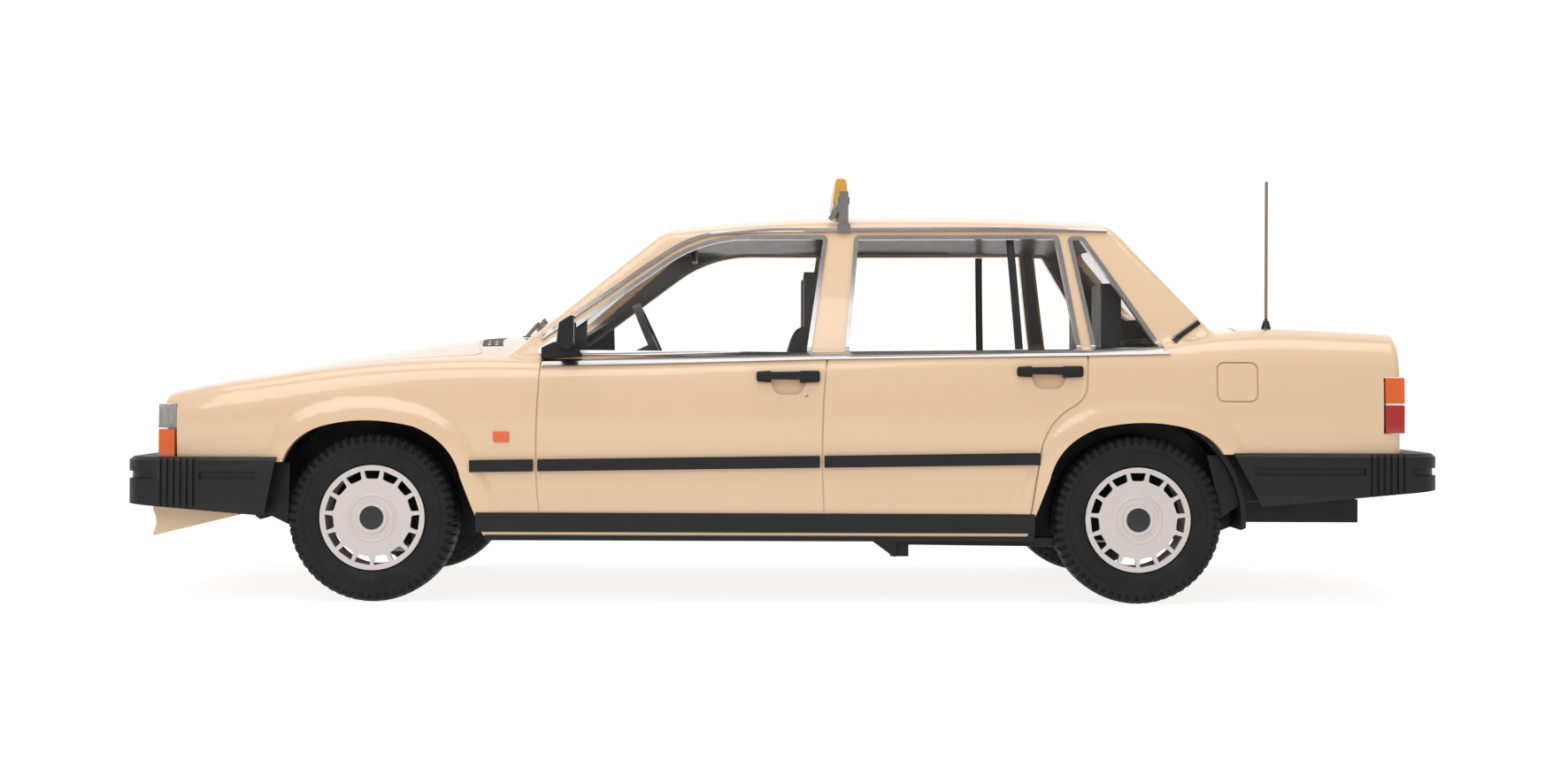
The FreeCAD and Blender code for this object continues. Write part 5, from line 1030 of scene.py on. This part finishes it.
def tyre_surface(name, centre, half, outer, inner, blocks, groove):
    """Turned cross-section; three grooves run round the tread, and slots part the shoulder into blocks.

    Each point moves inwards along the section's normal by the groove depth times a soft step of its
    distance to the nearest groove, or, on the shoulder, a soft step of the cosine of its angle times the
    number of blocks. Two fine raised rings run round the outer part of each wall.
    """
    section = tyre_profile(half, outer, inner)
    ahead = np.roll(section, -1, 0) - np.roll(section, 1, 0)
    normal = np.stack([ahead[:, 1], -ahead[:, 0]], -1)
    normal = normal / np.maximum(np.hypot(normal[:, 0], normal[:, 1]), 1e-9)[:, None]
    outward = section - np.array((0, (outer + inner) / 2 - 1))
    normal = normal * np.sign(np.sum(normal * outward, 1))[:, None]
    turn = np.linspace(0, 2 * math.pi, blocks * 8, endpoint=False)[:, None]
    across, radius = section[None, :, 0], section[None, :, 1]
    on_tread = np.clip((radius - (outer - TREAD_EDGE)) / TREAD_RAMP, 0, 1)
    rings = [np.clip(1.5 - np.abs(across - place * half) / TREAD_RAMP, 0, 1) for place in TREAD_GROOVES]
    lanes = np.maximum(np.maximum(rings[0], rings[1]), rings[2]) * on_tread
    lean = 0.35 * np.sign(across)
    beside = np.clip((np.abs(across) - SHOULDER_SHARE * half) / SHOULDER_RAMP, 0, 1)
    shoulder = beside * np.clip((radius - (outer - SHOULDER_DROP)) / SHOULDER_RAMP, 0, 1)
    slots = np.clip((np.cos(blocks * turn + lean * np.abs(across)) - 0.45) * 4, 0, 1) * shoulder
    sipes = np.clip((np.cos(blocks * turn + 0.9 * across) - 0.75) * 5, 0, 1)
    sipes = sipes * on_tread * (1 - shoulder) * 0.6
    low_ring = np.exp(-((radius - outer + 4.6) / 0.16) ** 2)
    high_ring = np.exp(-((radius - outer + 3.0) / 0.14) ** 2)
    bead = WALL_RING * (low_ring - high_ring)
    depth = groove * np.maximum(np.maximum(lanes, slots), sipes) - bead * (np.abs(across) > 0.85 * half)
    along = across - depth * normal[None, :, 0]
    reach = radius - depth * normal[None, :, 1]
    points = np.stack([centre[0] + reach * np.cos(turn), centre[1] + along,
                       centre[2] + reach * np.sin(turn)], -1)
    return grid_mesh(points, name, wrapped=True)


class TAXI_OT_tyres(bpy.types.Operator):
    """Tyres with grooved tread, shoulder blocks and bulged walls"""
    bl_idname = "taxi.tyres"
    bl_label = "Tyres"

    def execute(self, context):
        sizes = context.scene.taxi_wheels
        for wheel in WHEELS:
            low, high = node_box("tyre_" + wheel)
            half, outer = (high[1] - low[1]) / 2, (high[2] - low[2]) / 2
            mesh = tyre_surface("tread", (low + high) / 2, half, outer, sizes.rim_radius, sizes.blocks,
                                sizes.groove)
            piece("tread_" + wheel, mesh, "tyre_rubber", "wheel_" + wheel, ("tyre_" + wheel,), 50)
        return {"FINISHED"}


def domed_disc(radius, edge, rise, back, count, sign):
    """Profile of a low domed disc, as (place along the axle, radius), facing outwards on one side."""
    t = np.linspace(0, 1, count)
    face = np.stack([edge + rise * np.cos(t * math.pi / 2), radius * np.sin(t * math.pi / 2)], -1)
    face[0, 1] = DISC_MIDDLE
    return np.concatenate([face, [(back, radius), (back, DISC_MIDDLE)]]) * np.array((sign, 1))


def raised_ring(sizes, sign):
    """Profile of the low round ring about the hub's boss, as (place along the axle, radius)."""
    inner, edge = sizes.ring_radii
    face_y = -sizes.boss_stand
    t = np.linspace(0, math.pi, 9)
    crest = np.stack([face_y + sizes.ring_height * np.sin(t),
                      (inner + edge) / 2 - (edge - inner) / 2 * np.cos(t)], -1)
    back = face_y - RING_SEAT
    return np.concatenate([crest, [(back, edge), (back, inner)]]) * np.array((sign, 1))


class TAXI_OT_wheels(bpy.types.Operator):
    """Covers with open slots, a raised ring and a plain dark disc in each centre"""
    bl_idname = "taxi.wheels"
    bl_label = "Wheels"

    def execute(self, context):
        sizes = context.scene.taxi_wheels
        for wheel in WHEELS:
            low, high = node_box("wheel_" + wheel)
            outer_y, sign = (low[1], -1) if "left" in wheel else (high[1], 1)
            centre = np.array(((low[0] + high[0]) / 2, outer_y, (low[2] + high[2]) / 2))
            slot = rounded_outline(SLOT_OUTLINE, 5)
            slots = []
            for turn in np.arange(SLOT_COUNT) * 2 * math.pi / SLOT_COUNT:
                spun = slot @ np.array(((math.cos(turn), -math.sin(turn)), (math.sin(turn), math.cos(turn))))
                slots.append(prism("slot", spun + centre[[0, 2]], 1, outer_y + sign * SLOT_PAST,
                                   outer_y - sign * SLOT_DEPTH))
            dressed("wheel_" + wheel, WHEEL_ROUND, [group("slots", slots)])
            ring = turned(raised_ring(sizes, sign), centre, 72, "ring")
            piece("cover_ring_" + wheel, ring, "silver_cover", "wheel_" + wheel, angle=60)
            disc = turned(domed_disc(sizes.disc_radius, 0.06, 0.10, -0.05, 10, sign), centre, 48, "disc")
            piece("centre_disc_" + wheel, disc, "black_plastic", "wheel_" + wheel, angle=50,
                  material="dark_disc")
        return {"FINISHED"}


# Frame nodes whose edges are rounded, by the size of the round in millimetres
SOFT_EDGES = {
    "trim": {"belt_strips": 0.12, "rub_strips": 0.3, "sill_covers": 0.15, "side_repeaters": 0.25},
    "bumpers": {"front_bumper": 0.35, "rear_bumper": 0.35, "front_valance": 0.2, "number_plates": 0.12},
    "lamps": {"corner_lamps": 0.2, "front_indicators": 0.2, "headlamp_lenses": 0.2, "tail_lamps_red": 0.2,
              "tail_lamps_amber": 0.2, "tail_lamps_clear": 0.2, "grille": 0.1},
    "interior": {"front_seats": 0.9, "rear_seat": 0.9, "dashboard": 0.5, "parcel_shelf": 0.2,
                 "interior_mirror": 0.25},
    "roof_sign": {"roof_sign_frame": 0.12, "roof_sign_lens": 0.5},
    "small_parts": {"wipers": 0.1},
}


def dress_group(key):
    """Rounds the edges of one group of frame nodes."""
    for name, width in SOFT_EDGES[key].items():
        dressed(name, width)


def smooth_line(spots, step=0.8):
    """A line through listed places: cubic Hermite pieces over their running length."""
    spots = np.array(spots, float)
    length = np.concatenate([[0], np.cumsum(np.hypot(*np.diff(spots, axis=0).T))])
    at = np.linspace(0, length[-1], int(length[-1] / step) + 2)
    return smooth_rows(np.column_stack([length, spots]), at)


def both_sides(name, corners, inner, outer):
    """A block with a side outline, on both sides of the car, between two distances from its middle."""
    outline = np.array(corners, float)
    return group(name, [prism(name, outline, 1, sign * inner, sign * outer) for sign in (-1, 1)])


def window_frames(width):
    """The layer of the body under each window's edge, between its outline and the same moved inwards."""
    rings = []
    for window in SIDE_WINDOWS:
        core = prism("ring", window_outline(window, width), 1, -ACROSS - 1, ACROSS + 1)
        rings.append(combined("ring", sideways("ring", window_outline(window)), [core]))
    outer, inner = FRAME_LAYER
    layer = combined("frames", form(outer), [group("rings", rings)], "INTERSECT")
    return combined("frames", layer, [form(inner)])


def handle_parts():
    """Lever and both end blocks of every door handle."""
    parts = []
    for x0, x1, z0, z1 in HANDLES:
        rise = (z1 - z0) * 0.3
        outlines = (
            ((x0 + 0.4, z0 + rise, 0.3), (x1 - 0.4, z0 + rise * 0.8, 0.3), (x1 - 0.4, z1 - 0.1, 0.3),
             (x0 + 0.4, z1 - 0.3, 0.3)),
            ((x0, z0 + 0.3, 0.5), (x0 + 3.0, z0 + 0.1, 0.3), (x0 + 3.0, z1, 0.3), (x0, z1 - 0.2, 0.5)),
            ((x1 - 4.0, z0, 0.3), (x1, z0 + 0.2, 0.5), (x1, z1, 0.5), (x1 - 4.0, z1, 0.3)))
        for sign in (-1, 1):
            for outline, (inner, outer) in zip(outlines, HANDLE_DEPTHS):
                parts.append(prism("part", rounded_outline(outline), 1, sign * inner, sign * outer))
    return parts


def lock_discs():
    """Round lock plates below the front door handles."""
    x, y, z = LOCK_PLACE
    return [turned(domed_disc(LOCK_RADIUS, 0.25, 0.12, -0.3, 8, sign), np.array((x, sign * y, z)), 32, "lock")
            for sign in (-1, 1)]


class TAXI_OT_trim(bpy.types.Operator):
    """Bright window frames, drip rails and belt strips, black rub strips, sills and handles"""
    bl_idname = "taxi.trim"
    bl_label = "Trim"

    def execute(self, context):
        sizes = context.scene.taxi_body
        dress_group("trim")
        frames = window_frames(sizes.frame_width)
        piece("bright_frames", frames, "bright_trim", "root", ("window_frames",), 40, 0.12)
        line = ribbon(smooth_line(RAIL_LINE), sizes.rail_width)
        rails = skin_piece("rails", [line], -sizes.rail_stand, TRIM_SEAT)
        piece("roof_rails", rails, "bright_trim", "root", ("drip_rails",), 40, 0.1)
        seal = skin_piece("strips", [ribbon(np.array(SEAL_LINE), 0.85)], -SEAL_STAND, TRIM_SEAT)
        piece("pillar_strips", seal, "black_plastic", bevel=0.1)
        bead = skin_piece("beads", [ribbon(np.array(BEAD_LINE), 0.3)], -BEAD_STAND, TRIM_SEAT)
        piece("pillar_beads", bead, "bright_trim", bevel=0.05)
        piece("lever_handles", group("handles", handle_parts()), "black_plastic",
              replaces=("door_handles",), bevel=0.22)
        piece("door_locks", group("locks", lock_discs()), "bright_trim", angle=50)
        splash = group("splash", [both_sides("splash", *panel) for panel in SPLASH_PANELS])
        piece("splash_panels", splash, "black_plastic", bevel=0.2)
        return {"FINISHED"}


class TAXI_OT_glazing(bpy.types.Operator):
    """Side panes sunk into their frames, and the black corner pieces that carry the mirrors"""
    bl_idname = "taxi.glazing"
    bl_label = "Side glazing"

    def execute(self, context):
        corner = box_mesh("corner", *MIRROR_CORNER)
        outlines = [window_outline(window, PANE_INSET) for window in SIDE_WINDOWS]
        panes = combined("panes", skin_piece("panes", outlines, *PANE_LAYER), [corner.copy()])
        piece("side_panes", panes, "clear_glazing", replaces=("side_windows",))
        front = skin_piece("sails", [window_outline(FRONT_WINDOW, CORNER_INSET)], *CORNER_LAYER)
        sails = combined("sails", front, [corner], "INTERSECT")
        piece("mirror_corners", sails, "black_plastic", bevel=0.1)
        return {"FINISHED"}


class TAXI_OT_lining(bpy.types.Operator):
    """Moulded grey lining inside the roof and pillars, open at the windows"""
    bl_idname = "taxi.lining"
    bl_label = "Lining"

    def execute(self, context):
        outer, inner = LINING_LAYER
        zone = box_mesh("zone", *LINING_ZONE)
        layer = combined("lining", form(outer, 0.0, COARSE_STEP), [zone], "INTERSECT")
        cuts = [form(inner, 0.0, COARSE_STEP)]
        cuts += [sideways("cut", window_outline(window, LINING_INSET)) for window in SIDE_WINDOWS]
        cuts += [screen_prism(LINING_SCREEN_OPENING, SCREEN_ZONE),
                 screen_prism(LINING_REAR_OPENING, REAR_ZONE)]
        piece("moulded_lining", combined("lining", layer, cuts), "lining_plastic", replaces=("head_lining",))
        return {"FINISHED"}


class TAXI_OT_mirrors(bpy.types.Operator):
    """Door mirrors: wedge foot, slim raked housing and its glass"""
    bl_idname = "taxi.mirrors"
    bl_label = "Door mirrors"

    def execute(self, context):
        parts = group("mirrors", [both_sides("part", *part) for part in MIRROR_PARTS])
        piece("mirror_housings", parts, "black_plastic", replaces=("door_mirrors",), bevel=0.4)
        panes = both_sides("glass", *MIRROR_PANE)
        piece("mirror_panes", panes, "mirror_glass", replaces=("mirror_glasses",))
        return {"FINISHED"}


def bowed(edge, y):
    """Place along the car, at y, of a bowed edge: its place at a half width, its bow, and that half width."""
    place, bow, half = edge
    return place - bow * (1 - (y / half) ** 2)


class TAXI_OT_cowl(bpy.types.Operator):
    """Black louvred panel between the bonnet and the windscreen"""
    bl_idname = "taxi.cowl"
    bl_label = "Cowl"

    def execute(self, context):
        y = np.linspace(-COWL_HALF, COWL_HALF, 41)
        front, rear = (np.stack([bowed(edge, y), y], -1) for edge in (COWL_FRONT, COWL_REAR))
        panel = prism("panel", np.concatenate([front, rear[::-1]]), 2, *COWL_ZONE)
        outer, inner = COWL_LAYER
        layer = combined("cowl", form(outer), [panel], "INTERSECT")
        slots = []
        for middle in np.linspace(-LOUVRE_REACH, LOUVRE_REACH, LOUVRE_COUNT):
            for row in LOUVRE_ROWS:
                x0 = bowed(LOUVRE_FRONT, middle) + row
                y0, y1 = middle - LOUVRE_HALF, middle + LOUVRE_HALF
                slot = ((x0, y0), (x0 + LOUVRE_WIDTH, y0), (x0 + LOUVRE_WIDTH, y1), (x0, y1))
                slots.append(prism("slot", np.array(slot), 2, *COWL_ZONE))
        slots = combined("slots", group("slots", slots), [form(LOUVRE_DEPTH)])
        cowl = combined("cowl", layer, [form(inner), slots])
        piece("louvred_cowl", cowl, "black_plastic", replaces=("cowl_tray",))
        return {"FINISHED"}


class TAXI_OT_bumpers(bpy.types.Operator):
    """Ribbed bumpers, valance and blank number plates"""
    bl_idname = "taxi.bumpers"
    bl_label = "Bumpers"

    def execute(self, context):
        dress_group("bumpers")
        return {"FINISHED"}


class TAXI_OT_lamps(bpy.types.Operator):
    """Fluted lamp lenses and the barred grille"""
    bl_idname = "taxi.lamps"
    bl_label = "Lamps and grille"

    def execute(self, context):
        dress_group("lamps")
        return {"FINISHED"}


class TAXI_OT_interior(bpy.types.Operator):
    """Seats, dashboard, shelf and mirror seen through the windows"""
    bl_idname = "taxi.interior"
    bl_label = "Interior"

    def execute(self, context):
        dress_group("interior")
        return {"FINISHED"}


class TAXI_OT_roof_sign(bpy.types.Operator):
    """Roof sign and its bar"""
    bl_idname = "taxi.roof_sign"
    bl_label = "Roof sign"

    def execute(self, context):
        dress_group("roof_sign")
        return {"FINISHED"}


class TAXI_OT_small_parts(bpy.types.Operator):
    """Windscreen wipers"""
    bl_idname = "taxi.small_parts"
    bl_label = "Wipers"

    def execute(self, context):
        dress_group("small_parts")
        return {"FINISHED"}


class TAXI_OT_finishes(bpy.types.Operator):
    """Finishes for the frame's own nodes"""
    bl_idname = "taxi.finishes"
    bl_label = "Finishes"

    def execute(self, context):
        slots = {row["node"]: row["material_slot"] for row in FRAME["record"]["subparts"]}
        for name, node in NODES.items():
            node.data.materials.clear()
            node.data.materials.append(MATERIALS["aerial_rod" if name == "aerial" else slots[name]])
        return {"FINISHED"}


def seen_directly(tree):
    """1 for rays from the camera, off gloss or through glass, and 0 for light that falls on the object."""
    path = add(tree, "ShaderNodeLightPath")
    camera, glossy = path.outputs["Is Camera Ray"], path.outputs["Is Glossy Ray"]
    either = add(tree, "ShaderNodeMath", {0: camera, 1: glossy}, operation="MAXIMUM")
    through_glass = path.outputs["Is Transmission Ray"]
    any_of_them = add(tree, "ShaderNodeMath", {0: either.outputs[0], 1: through_glass}, operation="MAXIMUM")
    return any_of_them.outputs[0]


def pale_card():
    """Matt card that lights the car softly and, seen directly, is white but for the car's shadow."""
    material, tree, shader = new_material("pale_card")
    shader.inputs["Base Color"].default_value = linear("#F6F2EE")
    shader.inputs["Roughness"].default_value = 0.9
    shown = add(tree, "ShaderNodeBsdfPrincipled", {
        "Base Color": linear("#8C8783"), "Roughness": 0.9,
        "Emission Color": linear("#FFFDFC"), "Emission Strength": 0.88})
    direct = seen_directly(tree)
    mixed = add(tree, "ShaderNodeMixShader", {0: direct, 1: shader.outputs[0], 2: shown.outputs[0]})
    output = next(node for node in tree.nodes if node.type == "OUTPUT_MATERIAL")
    tree.links.new(mixed.outputs[0], output.inputs["Surface"])
    return material


def stage_floor():
    """A floor that bends up into a backdrop behind the car."""
    t = np.linspace(0, math.pi / 2, 12)
    bend = np.stack([FLOOR_FAR - FLOOR_BEND + FLOOR_BEND * np.sin(t),
                     FLOOR_BEND - FLOOR_BEND * np.cos(t)], -1)
    line = np.concatenate([[(FLOOR_NEAR, 0.0)], bend, [(FLOOR_FAR, FLOOR_TOP)]])
    verts = [(x, y, z) for y, z in line for x in (-FLOOR_HALF, FLOOR_HALF)]
    faces = [(2 * i, 2 * i + 1, 2 * i + 3, 2 * i + 2) for i in range(len(line) - 1)]
    mesh = bpy.data.meshes.new("floor")
    mesh.from_pydata(verts, [], faces)
    mesh.materials.append(pale_card())
    floor = bpy.data.objects.new("floor", mesh)
    bpy.context.scene.collection.objects.link(floor)


class TAXI_OT_stage(bpy.types.Operator):
    """Pale floor, soft lights and the camera at the photograph's angle"""
    bl_idname = "taxi.stage"
    bl_label = "Stage"

    def execute(self, context):
        scene = context.scene
        stage = scene.taxi_stage
        scene.view_settings.view_transform = "Standard"
        camera = bpy.data.cameras.new("camera")
        camera.sensor_width = 36.0
        camera.lens = stage.focal
        camera.shift_x, camera.shift_y = VIEW_SHIFT
        camera.clip_start, camera.clip_end = VIEW_REACH
        view = bpy.data.objects.new("camera", camera)
        view.location = (stage.view_x * MM, -stage.distance * MM, stage.view_height * MM)
        view.rotation_euler = (math.pi / 2, stage.roll, 0.0)
        scene.collection.objects.link(view)
        scene.camera = view
        stage_floor()
        world = bpy.data.worlds.new("studio")
        scene.world = world
        world.use_nodes = True
        back = world.node_tree.nodes["Background"]
        back.inputs[0].default_value = linear("#FFFFFF")
        back.inputs[1].default_value = WORLD_LEVEL * stage.light
        for name, place, aim, size, power in STUDIO_LAMPS:
            lamp = bpy.data.lights.new(name, "AREA")
            lamp.shape = "RECTANGLE"
            lamp.size, lamp.size_y = size
            lamp.energy = power * stage.light
            item = bpy.data.objects.new(name, lamp)
            item.location = place
            item.rotation_euler = (Vector(aim) - Vector(place)).to_track_quat("-Z", "Y").to_euler()
            scene.collection.objects.link(item)
        return {"FINISHED"}


class TAXI_PT_panel(bpy.types.Panel):
    """Sizes and steps of the model"""
    bl_label = "Taxi model"
    bl_idname = "TAXI_PT_panel"
    bl_space_type = "VIEW_3D"
    bl_region_type = "UI"
    bl_category = "Taxi"

    def draw(self, context):
        for owner in (context.scene.taxi_stage, context.scene.taxi_body, context.scene.taxi_wheels):
            for key in owner.bl_rna.properties.keys():
                if key not in ("rna_type", "name"):
                    self.layout.prop(owner, key)
        for step in STEPS:
            self.layout.operator(step.bl_idname)


GROUPS = (TaxiStage, TaxiBody, TaxiWheels)
STEPS = (TAXI_OT_stage, TAXI_OT_finishes, TAXI_OT_body, TAXI_OT_trim, TAXI_OT_glazing, TAXI_OT_lining,
         TAXI_OT_cowl, TAXI_OT_mirrors, TAXI_OT_bumpers, TAXI_OT_lamps, TAXI_OT_tyres, TAXI_OT_wheels,
         TAXI_OT_interior, TAXI_OT_roof_sign, TAXI_OT_small_parts)
CLASSES = GROUPS + STEPS + (TAXI_PT_panel,)


def register():
    for item in CLASSES:
        bpy.utils.register_class(item)
    bpy.types.Scene.taxi_stage = PointerProperty(type=TaxiStage)
    bpy.types.Scene.taxi_body = PointerProperty(type=TaxiBody)
    bpy.types.Scene.taxi_wheels = PointerProperty(type=TaxiWheels)


def unregister():
    del bpy.types.Scene.taxi_stage
    del bpy.types.Scene.taxi_body
    del bpy.types.Scene.taxi_wheels
    for item in reversed(CLASSES):
        bpy.utils.unregister_class(item)


def main():
    register()
    make_materials()
    for step in STEPS:
        group_name, step_name = step.bl_idname.split(".")
        getattr(getattr(bpy.ops, group_name), step_name)()


if __name__ == "__main__":
    main()
